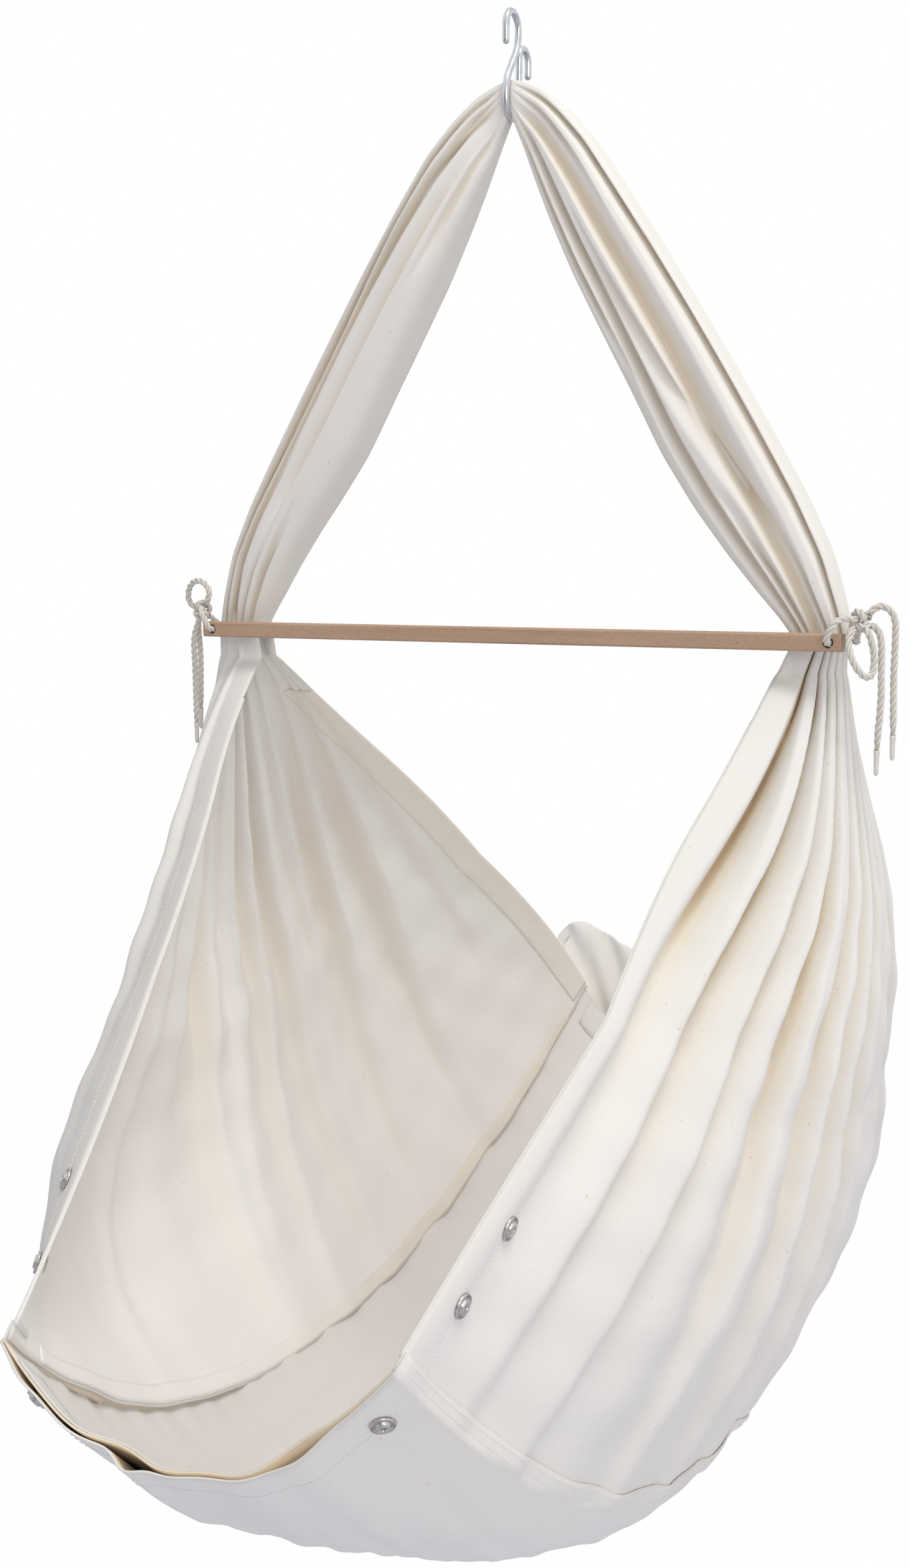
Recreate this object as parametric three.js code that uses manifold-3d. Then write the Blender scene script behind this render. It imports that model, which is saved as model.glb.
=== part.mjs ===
// Hanging baby cradle: a boat-shaped cotton sling that hangs by one cloth band from an S-hook.
// A square beech bar, roped behind its ends to the two gathers of the cloth, spreads the sling.
// Lengths are millimetres. X runs along the bar, +Y points to the head end and +Z is up.
// The origin is where the hook's upper bend rests on whatever carries it.

import * as THREE from 'three';
import { mergeVertices } from 'three/addons/utils/BufferGeometryUtils.js';
import Module from 'manifold-3d';

// S-hook
const hookWire = 6;
const hookUpperRadius = 12;
const hookLowerRadius = 13;
const hookHeight = 85;
const hookTipDrop = 26;
const hookShankLean = 1;
const hookCurlRadius = 9;
const hookCurlDrop = 30;
const hookCurlTipDrop = 44;

// Spreader bar
const barLength = 600;
const barSection = 14;
const barEdge = 1.5;
const barDrop = 514;
const barHoleDiameter = 8.5;
const barHoleInset = 10;

// Cotton cloth and the clearances between its layers
const cloth = 2;
const hemCloth = 1.2;
const layerGap = 0.5;
const seatGap = 0.3;

// Cloth at the hook and at the bar
const crownHalfLength = 14;
const crownTopDrop = 52;
const crownHalfDepth = 8.8;
const crownEndHalfDepth = 10;
const crownEndTopDrop = 55.5;
const crownEndBottomDrop = 109;
const gatherInset = 24;
const gatherHalfWidth = 24;
const gatherHalfDepth = 15;
const legBelowBar = 26;
const legHalfDepth = 33;

// Cradle body, measured from the hang point
const nearLength = 506;
const farLength = 526;
const lowPointShift = 44;
const baseMidHalfWidth = 202;
const baseEndHalfWidth = 148;
const seamMidDrop = 1206;
const nearCornerDrop = 956;
const farCornerDrop = 970;
const baseMidSag = 84;
const baseEndSag = 74;
const wallBulge = 98;
const nearRimBow = 24;
const farRimBow = 14;
const nearRimReach = 6;
const farRimReach = 30;
const pleatDepth = 5;
const pocketGap = 20;
const lipHeight = 48;
const lipReach = 20;

// Hems and seams
const hemWidth = 32;
const seamLap = 13;

// Tie ropes
const ropeDiameter = 6;
const knotHalfWidth = 8;
const knotHalfHeight = 9;
const knotOut = 11;
const knotRise = 17;
const knotBack = 8;
const tipDiameter = 4.2;
const tipLength = 20;

// Press studs
const studDiameter = 17;
const studFlange = 1.2;
const studRingDiameter = 10;
const studHeight = 3.4;
const studHoleDiameter = 3.6;
const capDiameter = 14;
const capHeight = 1.4;

// Places that follow from the sizes above
const legEndDrop = barDrop + legBelowBar;
const gatherReach = barLength / 2 - gatherInset;
const barY = -(gatherHalfDepth + layerGap + ropeDiameter + 3 * seatGap + barSection / 2);
const ringHalfWidth = gatherHalfWidth + layerGap + seatGap + ropeDiameter / 2;
const ringHalfDepth = gatherHalfDepth + layerGap + seatGap + ropeDiameter / 2;
const lowerBendZ = -(hookHeight - hookWire / 2);
const knotCentre = new THREE.Vector3(barLength / 2 + knotOut, barY + knotBack, -barDrop + knotRise);

// Materials
const cottonMaterial = new THREE.MeshStandardMaterial({ color: 0xece6da, roughness: 0.95, metalness: 0 });
const ropeMaterial = new THREE.MeshStandardMaterial({ color: 0xf1ece2, roughness: 0.9, metalness: 0 });
const beechMaterial = new THREE.MeshStandardMaterial({ color: 0xb0917c, roughness: 0.6, metalness: 0 });
const zincMaterial = new THREE.MeshStandardMaterial({ color: 0xb9bfc6, roughness: 0.3, metalness: 1 });
const nickelMaterial = new THREE.MeshStandardMaterial({ color: 0xc4c2bf, roughness: 0.25, metalness: 1 });

const model = new THREE.Group();
model.name = 'hanging_baby_cradle';

function addMesh(name, geometry, material) {
  const mesh = new THREE.Mesh(geometry, material);
  mesh.name = name;
  model.add(mesh);
  return mesh;
}

function smoothStep(low, high, value) {
  const k = Math.min(Math.max((value - low) / (high - low), 0), 1);
  return k * k * (3 - 2 * k);
}

// Signed volume of a closed triangle mesh, positive when its faces point outwards
function signedVolume(positions, indices) {
  const a = new THREE.Vector3();
  const b = new THREE.Vector3();
  const c = new THREE.Vector3();
  let total = 0;
  for (let k = 0; k < indices.length; k += 3) {
    a.fromArray(positions, 3 * indices[k]);
    b.fromArray(positions, 3 * indices[k + 1]);
    c.fromArray(positions, 3 * indices[k + 2]);
    total += a.dot(b.cross(c));
  }
  return total / 6;
}

// Closed mesh from points and triangles, with its faces turned outwards
function closedGeometry(points, indices) {
  const positions = points.flatMap((p) => [p.x, p.y, p.z]);
  if (signedVolume(positions, indices) < 0) {
    indices.reverse();
  }
  const geometry = new THREE.BufferGeometry();
  geometry.setAttribute('position', new THREE.Float32BufferAttribute(positions, 3));
  geometry.setIndex(indices);
  geometry.computeVertexNormals();
  return geometry;
}

// Sheet of cloth as a closed shell: two matching grids of points, joined round their border.
// A mirrored sheet has its triangles' diagonals mirrored too, past its middle column.
function shellGeometry(outer, inner, mirrored = false) {
  const rows = outer.length;
  const columns = outer[0].length;
  const points = [...outer.flat(), ...inner.flat()];
  const indices = [];
  const front = (i, j) => i * columns + j;
  const back = (i, j) => rows * columns + front(i, j);
  const quad = (a, b, c, d) => indices.push(a, b, c, a, c, d);
  for (let i = 0; i + 1 < rows; i++) {
    for (let j = 0; j + 1 < columns; j++) {
      if (mirrored && 2 * j >= columns - 1) {
        quad(front(i, j + 1), front(i, j), front(i + 1, j), front(i + 1, j + 1));
        quad(back(i, j + 1), back(i + 1, j + 1), back(i + 1, j), back(i, j));
      } else {
        quad(front(i, j), front(i + 1, j), front(i + 1, j + 1), front(i, j + 1));
        quad(back(i, j), back(i, j + 1), back(i + 1, j + 1), back(i + 1, j));
      }
    }
    quad(front(i + 1, 0), front(i, 0), back(i, 0), back(i + 1, 0));
    quad(front(i, columns - 1), front(i + 1, columns - 1), back(i + 1, columns - 1), back(i, columns - 1));
  }
  for (let j = 0; j + 1 < columns; j++) {
    quad(front(0, j), front(0, j + 1), back(0, j + 1), back(0, j));
    quad(front(rows - 1, j + 1), front(rows - 1, j), back(rows - 1, j), back(rows - 1, j + 1));
  }
  return closedGeometry(points, indices);
}

// Solid bundle through a row of closed rings, with a fan of triangles over each end
function ringGeometry(rings) {
  const count = rings[0].length;
  const points = rings.flat();
  const indices = [];
  for (let i = 0; i + 1 < rings.length; i++) {
    for (let k = 0; k < count; k++) {
      const next = (k + 1) % count;
      const a = i * count + k;
      const b = i * count + next;
      indices.push(a, a + count, b, b, a + count, b + count);
    }
  }
  for (const [start, flip] of [[0, false], [(rings.length - 1) * count, true]]) {
    const middle = points.slice(start, start + count).reduce((s, p) => s.add(p), new THREE.Vector3());
    points.push(middle.divideScalar(count));
    for (let k = 0; k < count; k++) {
      const a = start + k;
      const b = start + ((k + 1) % count);
      indices.push(points.length - 1, flip ? b : a, flip ? a : b);
    }
  }
  return closedGeometry(points, indices);
}

// Round rope or wire along a smooth curve through its route points
function tubeGeometry(route, diameter, sides, steps) {
  const section = new THREE.Shape();
  for (let k = 0; k < sides; k++) {
    const angle = (2 * Math.PI * k) / sides;
    const x = (diameter / 2) * Math.cos(angle);
    const y = (diameter / 2) * Math.sin(angle);
    if (k === 0) {
      section.moveTo(x, y);
    } else {
      section.lineTo(x, y);
    }
  }
  section.closePath();
  const curve = new THREE.CatmullRomCurve3(route, false, 'centripetal');
  return new THREE.ExtrudeGeometry(section, { steps, bevelEnabled: false, extrudePath: curve });
}

// S-hook, bent in the plane across the bar
function arcInHookPlane(y, z, radius, from, to, count) {
  const points = [];
  for (let k = 0; k <= count; k++) {
    const angle = THREE.MathUtils.degToRad(from + ((to - from) * k) / count);
    points.push(new THREE.Vector3(0, y + radius * Math.cos(angle), z + radius * Math.sin(angle)));
  }
  return points;
}

const shankShares = [[0.02, 0.12], [0.15, 0.28], [0.5, 0.48], [0.88, 0.7], [0.985, 0.86]];

function hookGeometry() {
  const upperZ = hookWire / 2 - hookUpperRadius;
  const lowerZ = lowerBendZ + hookLowerRadius;
  const lowerBack = hookShankLean + hookLowerRadius;
  const lowerFront = hookShankLean - hookLowerRadius;
  const curlZ = -hookCurlDrop;
  const shank = shankShares.map(([across, down]) => {
    const y = hookUpperRadius + (lowerFront - hookUpperRadius) * across;
    return new THREE.Vector3(0, y, upperZ + (lowerZ - upperZ) * down);
  });
  const route = [
    new THREE.Vector3(0, -hookUpperRadius, -hookTipDrop),
    ...arcInHookPlane(0, upperZ, hookUpperRadius, 180, 0, 8),
    ...shank,
    ...arcInHookPlane(hookShankLean, lowerZ, hookLowerRadius, 180, 360, 8),
    ...arcInHookPlane(lowerBack + hookCurlRadius, curlZ, hookCurlRadius, 180, 0, 6),
    new THREE.Vector3(0, lowerBack + 2 * hookCurlRadius, -hookCurlTipDrop),
  ];
  return tubeGeometry(route, hookWire, 10, 64);
}

// Crown: the cloth bunched over the wire of the hook's lower bend
const saddleAngles = [0, 25, 50, 72, 90];
const crownBeyondShares = [[0.13, 0.3], [0.33, 0.5], [0.62, 0.73], [1, 1]];
const crownRingPoints = 20;

function crownRing(x, bottom) {
  const share = Math.abs(x) / crownHalfLength;
  const top = -(crownTopDrop + (crownEndTopDrop - crownTopDrop) * share * share);
  const halfDepth = crownHalfDepth + (crownEndHalfDepth - crownHalfDepth) * share;
  const ring = [];
  for (let k = 0; k < crownRingPoints; k++) {
    const angle = (2 * Math.PI * k) / crownRingPoints;
    const y = hookShankLean + halfDepth * Math.cos(angle);
    const z = (top + bottom) / 2 + ((top - bottom) / 2) * Math.sin(angle);
    ring.push(new THREE.Vector3(x, y, z));
  }
  return ring;
}

function crownGeometry() {
  const half = crownHalfLength - seatGap / 2;
  const saddle = hookWire / 2 + 2 * seatGap;
  const stations = saddleAngles.map((degrees) => {
    const angle = THREE.MathUtils.degToRad(degrees);
    return [saddle * Math.sin(angle), lowerBendZ + saddle * Math.cos(angle)];
  });
  for (const [along, down] of crownBeyondShares) {
    const bottom = lowerBendZ - (crownEndBottomDrop + lowerBendZ) * down;
    stations.push([saddle + (half - saddle) * along, bottom]);
  }
  const left = stations.slice(1).reverse().map(([x, bottom]) => [-x, bottom]);
  return ringGeometry([...left, ...stations].map(([x, bottom]) => crownRing(x, bottom)));
}

// Legs: the folded band from the crown down behind the bar's end.
// Outlines are shares of the gather's outer reach and of the drop from the crown to the leg's end.
const legOuterShares = [
  [0.048, 0], [0.107, 0.018], [0.167, 0.051], [0.25, 0.108], [0.36, 0.206], [0.46, 0.298],
  [0.567, 0.402], [0.67, 0.505], [0.77, 0.608], [0.867, 0.711], [0.94, 0.804], [0.98, 0.886],
];
const legInnerShares = [
  [0.048, 0.11], [0.065, 0.133], [0.093, 0.168], [0.147, 0.236], [0.223, 0.329], [0.307, 0.422],
  [0.4, 0.525], [0.497, 0.639], [0.587, 0.726], [0.68, 0.804], [0.757, 0.864], [0.812, 0.917],
];
const legDepthShares = [0.3, 0.42, 0.6, 0.8, 0.97, 1, 1, 1, 0.98, 0.93, 0.82, 0.62];
const legSections = 24;
const legRingPoints = 28;
const legFolds = 7;
const legFoldShare = 0.13;

function legOutline(shares, endX) {
  const reach = gatherReach + gatherHalfWidth;
  const drop = legEndDrop - crownEndTopDrop;
  const points = shares.map(([x, z]) => new THREE.Vector2(x * reach, -crownEndTopDrop - z * drop));
  points[0].x = crownHalfLength + seatGap / 2;
  points.push(new THREE.Vector2(endX, -barDrop));
  points.push(new THREE.Vector2(endX, -legEndDrop + seatGap / 2));
  return new THREE.SplineCurve(points);
}

function legGeometry(side) {
  const outer = legOutline(legOuterShares, gatherReach + gatherHalfWidth);
  const inner = legOutline(legInnerShares, gatherReach - gatherHalfWidth);
  inner.points[0].y = -crownEndBottomDrop;
  const waistShare = gatherHalfDepth / legHalfDepth;
  const depth = new THREE.SplineCurve(
    [...legDepthShares, waistShare, waistShare].map((share, k) => new THREE.Vector2(k, share)),
  );
  const rings = [];
  for (let i = 0; i <= legSections; i++) {
    const s = i / legSections;
    const a = outer.getPoint(s);
    const b = inner.getPoint(s);
    const halfDepth = legHalfDepth * depth.getPoint(s).y;
    const foldFade = legFoldShare * smoothStep(0, 0.12, s);
    const ring = [];
    for (let k = 0; k < legRingPoints; k++) {
      const angle = (2 * Math.PI * k) / legRingPoints;
      const fold = 1 - (foldFade * (1 - Math.cos(legFolds * angle))) / 2;
      const across = (Math.cos(angle) * fold) / 2;
      const x = (a.x + b.x) / 2 + (a.x - b.x) * across;
      const z = (a.y + b.y) / 2 + (a.y - b.y) * across;
      const y = halfDepth * Math.sin(angle) * fold + hookShankLean * (1 - smoothStep(0, 0.2, s));
      ring.push(new THREE.Vector3(side * x, y, z));
    }
    rings.push(ring);
  }
  return ringGeometry(rings);
}

// Seam between wall and base: u runs from -1 at the foot end to 1 at the head end
const seamDropPower = 2;
const seamWidthPower = 2.5;

function seamPoint(u, side) {
  const k = Math.abs(u);
  const length = u < 0 ? nearLength + lowPointShift : farLength - lowPointShift;
  const cornerDrop = u < 0 ? nearCornerDrop : farCornerDrop;
  const x = baseMidHalfWidth + (baseEndHalfWidth - baseMidHalfWidth) * k ** seamWidthPower;
  const z = -(seamMidDrop + (cornerDrop - seamMidDrop) * k ** seamDropPower);
  return new THREE.Vector3(side * x, lowPointShift + length * u, z);
}

// Walls: each fans out from a gather to its seam. t runs from 0 at the gather to 1 at the seam.
const wallTopDrop = legEndDrop + seatGap / 2;
const bulgePower = 1.3;
const bulgeEndPower = 2.6;
const rimSlopeShare = 0.6;
const rimStart = 0.6;
const bundleFade = 0.22;
const pleatCount = 5;

function wallMiddle(u, t, side) {
  const gather = new THREE.Vector3(side * gatherReach, gatherHalfDepth * u, -wallTopDrop);
  const point = gather.lerp(seamPoint(u, side), t);
  const k = Math.min(Math.abs(u), 1);
  const roundness = 1 - k ** bulgeEndPower;
  const fullness = roundness / (rimSlopeShare + (1 - rimSlopeShare) * Math.sqrt(roundness));
  const rim = Math.max((k - rimStart) / (1 - rimStart), 0) ** 2;
  const bow = u < 0 ? nearRimBow : farRimBow;
  const reach = u < 0 ? -nearRimReach : farRimReach;
  point.x += side * wallBulge * fullness * Math.sin(Math.PI * t ** bulgePower);
  point.x -= side * bow * rim * Math.sin(Math.PI * t ** 1.1);
  point.y += reach * rim * Math.sin(Math.PI * t ** 1.6);
  return point;
}

// Outward direction: along X where the cloth is bunched, and square to the wall below
function wallOutward(u, t, side) {
  const stepShare = 0.01;
  const u0 = Math.max(u - stepShare, -1);
  const u1 = Math.min(u + stepShare, 1);
  const t1 = Math.min(t + stepShare, 1);
  const t0 = Math.max(t - stepShare, 0);
  const along = wallMiddle(u1, t, side).sub(wallMiddle(u0, t, side));
  const down = wallMiddle(u, t1, side).sub(wallMiddle(u, t0, side));
  const normal = down.cross(along).normalize();
  if (normal.x * side < 0) {
    normal.negate();
  }
  return new THREE.Vector3(side, 0, 0).lerp(normal, smoothStep(0, 0.3, t)).normalize();
}

// Point on a layer that lies a given distance outside the wall's middle surface
function wallPoint(u, t, side, offset) {
  const k = Math.abs(u);
  const window = 1 - smoothStep(0.62, 0.8, k);
  const depth = pleatDepth * window * smoothStep(0.02, 0.2, t) * (1 - t);
  const pleat = depth * Math.cos(Math.PI * pleatCount * u);
  return wallMiddle(u, t, side).addScaledVector(wallOutward(u, t, side), pleat + offset);
}

function wallHalfThickness(u, t) {
  const bunch = Math.max(1 - t / bundleFade, 0) ** 2;
  const roundness = Math.sqrt(Math.max(1 - u * u, 0));
  return cloth / 2 + (gatherHalfWidth - cloth) * roundness * bunch;
}

// The outer columns of the wall's grid keep the hem's width all the way down the rim
const rimSlantShare = 1.3;
const wallInnerColumns = 20;
const seamLapShare = seamLap / (seamMidDrop - wallTopDrop);
const seamGapShare = seatGap / (seamMidDrop - wallTopDrop);
const wallRowShares = [0, 0.05, 0.1, 0.16, 0.24, 0.35, 0.47, 0.59, 0.68, 0.77, 0.862, 0.957];
const wallRows = [...wallRowShares, 1 - seamLapShare, 1 - seamGapShare];
const hemFirstRow = 4;

function hemShare(t, length) {
  return (hemWidth * rimSlantShare) / (length * Math.max(t, wallRowShares[hemFirstRow]));
}

function wallColumns(t) {
  const low = -1 + hemShare(t, nearLength);
  const high = 1 - hemShare(t, farLength);
  const columns = [-1];
  for (let k = 0; k <= wallInnerColumns; k++) {
    columns.push(low + ((high - low) * k) / wallInnerColumns);
  }
  columns.push(1);
  return columns;
}

function wallGrid(side, rows, firstColumn, lastColumn, offsetAt) {
  return rows.map((t) =>
    wallColumns(t)
      .slice(firstColumn, lastColumn + 1)
      .map((u) => wallPoint(u, t, side, offsetAt(u, t))),
  );
}

function wallGeometry(side) {
  const last = wallInnerColumns + 2;
  const outer = wallGrid(side, wallRows, 0, last, (u, t) => wallHalfThickness(u, t));
  const inner = wallGrid(side, wallRows, 0, last, (u, t) => -wallHalfThickness(u, t));
  return shellGeometry(outer, inner);
}

// Rim hem: the wall's edge folded over and sewn flat on its inner face
const hemFace = cloth / 2 + layerGap;

const clearShare = (2 * seatGap) / hemWidth;

function hemGrids(side, firstColumn) {
  const rows = wallRows.slice(hemFirstRow);
  const free = firstColumn === 0 ? 1 : 0;
  const layer = (offset) => {
    const grid = wallGrid(side, rows, firstColumn, firstColumn + 1, () => offset);
    grid.forEach((row) => row[free].lerp(row[1 - free], clearShare));
    return grid;
  };
  return [layer(-hemFace), layer(-hemFace - hemCloth)];
}

// Inner fell of the seam: the wall's lower edge folded up and sewn down, clear of both rim hems
function fellGeometry(side) {
  const rows = wallRows.slice(-2);
  const last = wallInnerColumns + 1;
  const layer = (offset) => {
    const grid = wallGrid(side, rows, 1, last, () => offset);
    grid.forEach((row) => {
      row[0].lerp(row[1], clearShare);
      row[row.length - 1].lerp(row[row.length - 2], clearShare);
    });
    return grid;
  };
  return shellGeometry(layer(-hemFace), layer(-hemFace - hemCloth));
}

// Base: w runs from -1 at the left seam to 1 at the right seam
const sagMidPower = 2.9;
const sagEndPower = 3.5;

function baseMiddle(u, w) {
  const seam = seamPoint(u, 1);
  const k = Math.abs(u);
  const sag = baseMidSag + (baseEndSag - baseMidSag) * k * k;
  const power = sagMidPower + (sagEndPower - sagMidPower) * k * k;
  return new THREE.Vector3(seam.x * w, seam.y, seam.z - sag * (1 - Math.abs(w) ** power));
}

function baseDownward(u, w) {
  const stepShare = 0.01;
  const u0 = Math.max(u - stepShare, -1);
  const u1 = Math.min(u + stepShare, 1);
  const w0 = Math.max(w - stepShare, -1);
  const w1 = Math.min(w + stepShare, 1);
  const along = baseMiddle(u1, w).sub(baseMiddle(u0, w));
  const across = baseMiddle(u, w1).sub(baseMiddle(u, w0));
  const normal = along.cross(across).normalize();
  return normal.z > 0 ? normal.negate() : normal;
}

function basePoint(u, w, offset) {
  return baseMiddle(u, w).addScaledVector(baseDownward(u, w), offset);
}

const baseEdgeShare = (2 * seatGap) / baseEndHalfWidth;
const baseHalfColumnShares = [0, 0.25, 0.5, 0.72, 0.88];

// The base's rows stand at the same stations as the columns of the walls that they meet
function baseRows() {
  return wallColumns(1);
}

function baseColumns() {
  const right = [...baseHalfColumnShares, 1 - baseEdgeShare];
  const left = right.slice(1).reverse().map((w) => -w);
  return [...left, ...right];
}

function baseGrid(rows, columns, offset) {
  return rows.map((u) => columns.map((w) => basePoint(u, w, offset)));
}

function basePanelGeometry() {
  const outer = baseGrid(baseRows(), baseColumns(), cloth / 2);
  const inner = baseGrid(baseRows(), baseColumns(), -cloth / 2);
  return shellGeometry(outer, inner, true);
}

// Hem across an end of the base panel, on its upper face and clear of the wall's hems
function baseHemGeometry(end) {
  const rows = end < 0 ? baseRows().slice(0, 2) : baseRows().slice(-2);
  const columns = baseColumns().slice(1, -1);
  const lower = baseGrid(rows, columns, -hemFace);
  const upper = baseGrid(rows, columns, -hemFace - hemCloth);
  return shellGeometry(lower, upper, true);
}

// Base cover: the outer layer, which makes the mattress pocket with the panel above it.
// Its side edges lap up over the outside of the walls, and its head end stands up as a lip.
const coverEdge = cloth + layerGap;
const lipSteps = 2;

function coverDrop(w) {
  return coverEdge + (pocketGap - coverEdge) * (1 - Math.abs(w) ** 3);
}

function coverRow(u, lapU, offset) {
  const half = (side) => {
    const lap = wallPoint(lapU, 1 - seamLapShare, side, coverEdge + offset);
    const wallSide = wallOutward(u, 1, side);
    const baseSide = baseDownward(u, side);
    const mitre = (coverEdge + offset) / (1 + wallSide.dot(baseSide));
    return [lap, seamPoint(u, side).addScaledVector(wallSide.add(baseSide), mitre)];
  };
  const middle = baseColumns()
    .slice(1, -1)
    .map((w) => basePoint(u, w, coverDrop(w) + offset));
  return [...half(-1), ...middle, ...half(1).reverse()];
}

function coverGrid(offset) {
  const lapColumns = wallColumns(1 - seamLapShare);
  const rows = baseRows().map((u, i) => coverRow(u, lapColumns[i], offset));
  const edge = rows[rows.length - 1];
  for (let k = 1; k <= lipSteps; k++) {
    const share = k / lipSteps;
    const reach = lipReach * Math.sin((Math.PI / 2) * share);
    const lift = lipHeight * share - offset;
    rows.push(edge.map((p) => new THREE.Vector3(p.x, p.y + reach, p.z + lift)));
  }
  return rows;
}

function baseCoverGeometry() {
  return shellGeometry(coverGrid(cloth / 2), coverGrid(-cloth / 2), true);
}

// Spreader bar: a square bar with eased edges and a rope hole across each end
const overrun = 1;
const barPieces = 15;

function barSolid() {
  const h = barSection / 2;
  const e = h - barEdge;
  const section = new THREE.Shape();
  section.moveTo(h, e);
  for (const [x, y] of [[e, h], [-e, h], [-h, e], [-h, -e], [-e, -h], [e, -h], [h, -e]]) {
    section.lineTo(x, y);
  }
  section.closePath();
  const bar = new THREE.ExtrudeGeometry(section, { depth: barLength, steps: barPieces, bevelEnabled: false });
  bar.translate(0, 0, -barLength / 2);
  bar.rotateY(Math.PI / 2);
  bar.translate(0, barY, -barDrop);
  return bar;
}

function manifoldOf(geometry, library) {
  const bare = geometry.clone();
  bare.deleteAttribute('normal');
  bare.deleteAttribute('uv');
  const merged = mergeVertices(bare);
  return new library.Manifold(
    new library.Mesh({
      numProp: 3,
      vertProperties: new Float32Array(merged.attributes.position.array),
      triVerts: new Uint32Array(merged.index.array),
    }),
  );
}

function geometryOf(solid) {
  const mesh = solid.getMesh();
  const geometry = new THREE.BufferGeometry();
  geometry.setAttribute('position', new THREE.Float32BufferAttribute(mesh.vertProperties, 3));
  geometry.setIndex([...mesh.triVerts]);
  geometry.computeVertexNormals();
  return geometry;
}

async function barGeometry() {
  const library = await Module();
  library.setup();
  let solid = manifoldOf(barSolid(), library);
  for (const side of [-1, 1]) {
    const drill = new THREE.CylinderGeometry(
      barHoleDiameter / 2, barHoleDiameter / 2, barSection + 2 * overrun, 20,
    );
    drill.translate(side * (barLength / 2 - barHoleInset), barY, -barDrop);
    solid = solid.subtract(manifoldOf(drill, library));
  }
  return geometryOf(solid);
}

// Tie rope: out of the bar's hole to the knot, and back through the hole round the gather.
// The route is made for the right end and mirrored for the left.
const ringStartAngle = -80;
const ringEndAngle = -362;
const ringPoints = 18;
const edgeTurnAngles = [8, 45, 78];

// Point where a rope that runs towards a given place leaves the knot's surface
function knotSurface(place) {
  const d = place.clone().sub(knotCentre).normalize();
  const radius = 1 / Math.hypot(d.x / knotHalfWidth, d.y / knotHalfHeight, d.z / knotHalfHeight);
  return knotCentre.clone().addScaledVector(d, radius + layerGap);
}

function tieRoute(side) {
  const holeX = barLength / 2 - barHoleInset;
  const holeRadius = barHoleDiameter / 2;
  const backFace = barY + barSection / 2;
  const frontFace = barY - barSection / 2;
  const r = ropeDiameter / 2;
  const z = -barDrop;
  const route = [
    new THREE.Vector3(knotCentre.x - 2.9 * r, knotCentre.y - 4.6 * r, knotCentre.z + 0.6 * r),
    new THREE.Vector3(holeX + 2.2 * r, frontFace - 2.1 * r, z + 5.2 * r),
    new THREE.Vector3(holeX + 0.8 * r, frontFace - 2.7 * r, z + 3 * r),
    new THREE.Vector3(holeX, frontFace - 1.9 * r, z + 0.6 * r),
    new THREE.Vector3(holeX, frontFace, z),
    new THREE.Vector3(holeX, (frontFace + backFace) / 2, z),
  ];
  for (const degrees of edgeTurnAngles) {
    const angle = THREE.MathUtils.degToRad(degrees);
    const x = holeX - holeRadius + holeRadius * Math.cos(angle);
    route.push(new THREE.Vector3(x, backFace + holeRadius * Math.sin(angle), z));
  }
  for (let k = 0; k <= ringPoints; k++) {
    const share = k / ringPoints;
    const angle = THREE.MathUtils.degToRad(ringStartAngle + (ringEndAngle - ringStartAngle) * share);
    const x = gatherReach + ringHalfWidth * Math.cos(angle);
    route.push(new THREE.Vector3(x, ringHalfDepth * Math.sin(angle), z));
  }
  route.push(new THREE.Vector3(knotCentre.x - 1.6 * r, knotCentre.y + 4.2 * r, knotCentre.z - 3.3 * r));
  route.unshift(knotSurface(route[0]));
  route.push(knotSurface(route[route.length - 1]));
  return route.map((p) => new THREE.Vector3(side * p.x, p.y, p.z));
}

function knotGeometry(side) {
  const knot = new THREE.SphereGeometry(knotHalfHeight, 14, 9);
  knot.scale(knotHalfWidth / knotHalfHeight, 1, 1);
  knot.translate(side * knotCentre.x, knotCentre.y, knotCentre.z);
  return knot;
}

// Free rope ends and bows. Each route is a list of millimetres outwards, back and up from the
// middle of the knot, chosen by hand, from just off the knot to where the glued tip begins.
const ropeRoutes = {
  right_bow_loop: [
    [-4.5, -9.5, -8], [-5, -14, -14.5], [-3.5, -17.5, -22], [0, -20, -30], [4.5, -20, -37.5],
    [9, -16, -42.5], [12, -10, -42], [13, -5.5, -35.5], [12.5, -4, -26], [10.5, -5, -16], [8.5, -6, -9.5],
  ],
  left_bow_loop: [
    [-7.5, -3.5, 8.5], [-10.5, -4, 13.5], [-10.5, -4, 19], [-7, -4, 24], [-1, -3, 27.3],
    [6, -2, 27.3], [12.5, -0.5, 23.5], [16.5, 1, 17], [17, 2, 10], [13.5, 2.5, 4.5],
  ],
  right_tail_outer: [
    [9.8, 1.6, 8.8], [14.5, 2.5, 11.4], [19.8, 3.5, 10], [24, 4.5, 5.6], [26, 5.5, -1], [26.3, 6.2, -9],
    [26.2, 6.6, -20], [26, 7, -33], [26, 7, -47], [26.5, 6.5, -63], [27, 6, -78], [27, 6, -89],
  ],
  right_tail_inner: [
    [11.5, 3.5, -5.5], [15, 4, -11.5], [16.5, 3.5, -20], [17, 2.5, -31], [17.5, 1.5, -43],
    [18, 1, -57], [17.5, 1, -72], [16.5, 1, -87], [16, 1, -101],
  ],
  left_tail_outer: [
    [9, 5.5, -10], [11.5, 9, -17], [13, 12, -27], [13.5, 14, -40], [14, 15, -55],
    [14.5, 15, -71], [15, 15, -95],
  ],
  left_tail_inner: [
    [-1, -8.5, -12], [2, -9.5, -20], [4.5, -8.5, -30], [6, -6, -43], [7, -4, -58],
    [7.5, -3, -75], [8, -2, -93], [8, -2, -107],
  ],
};

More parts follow.
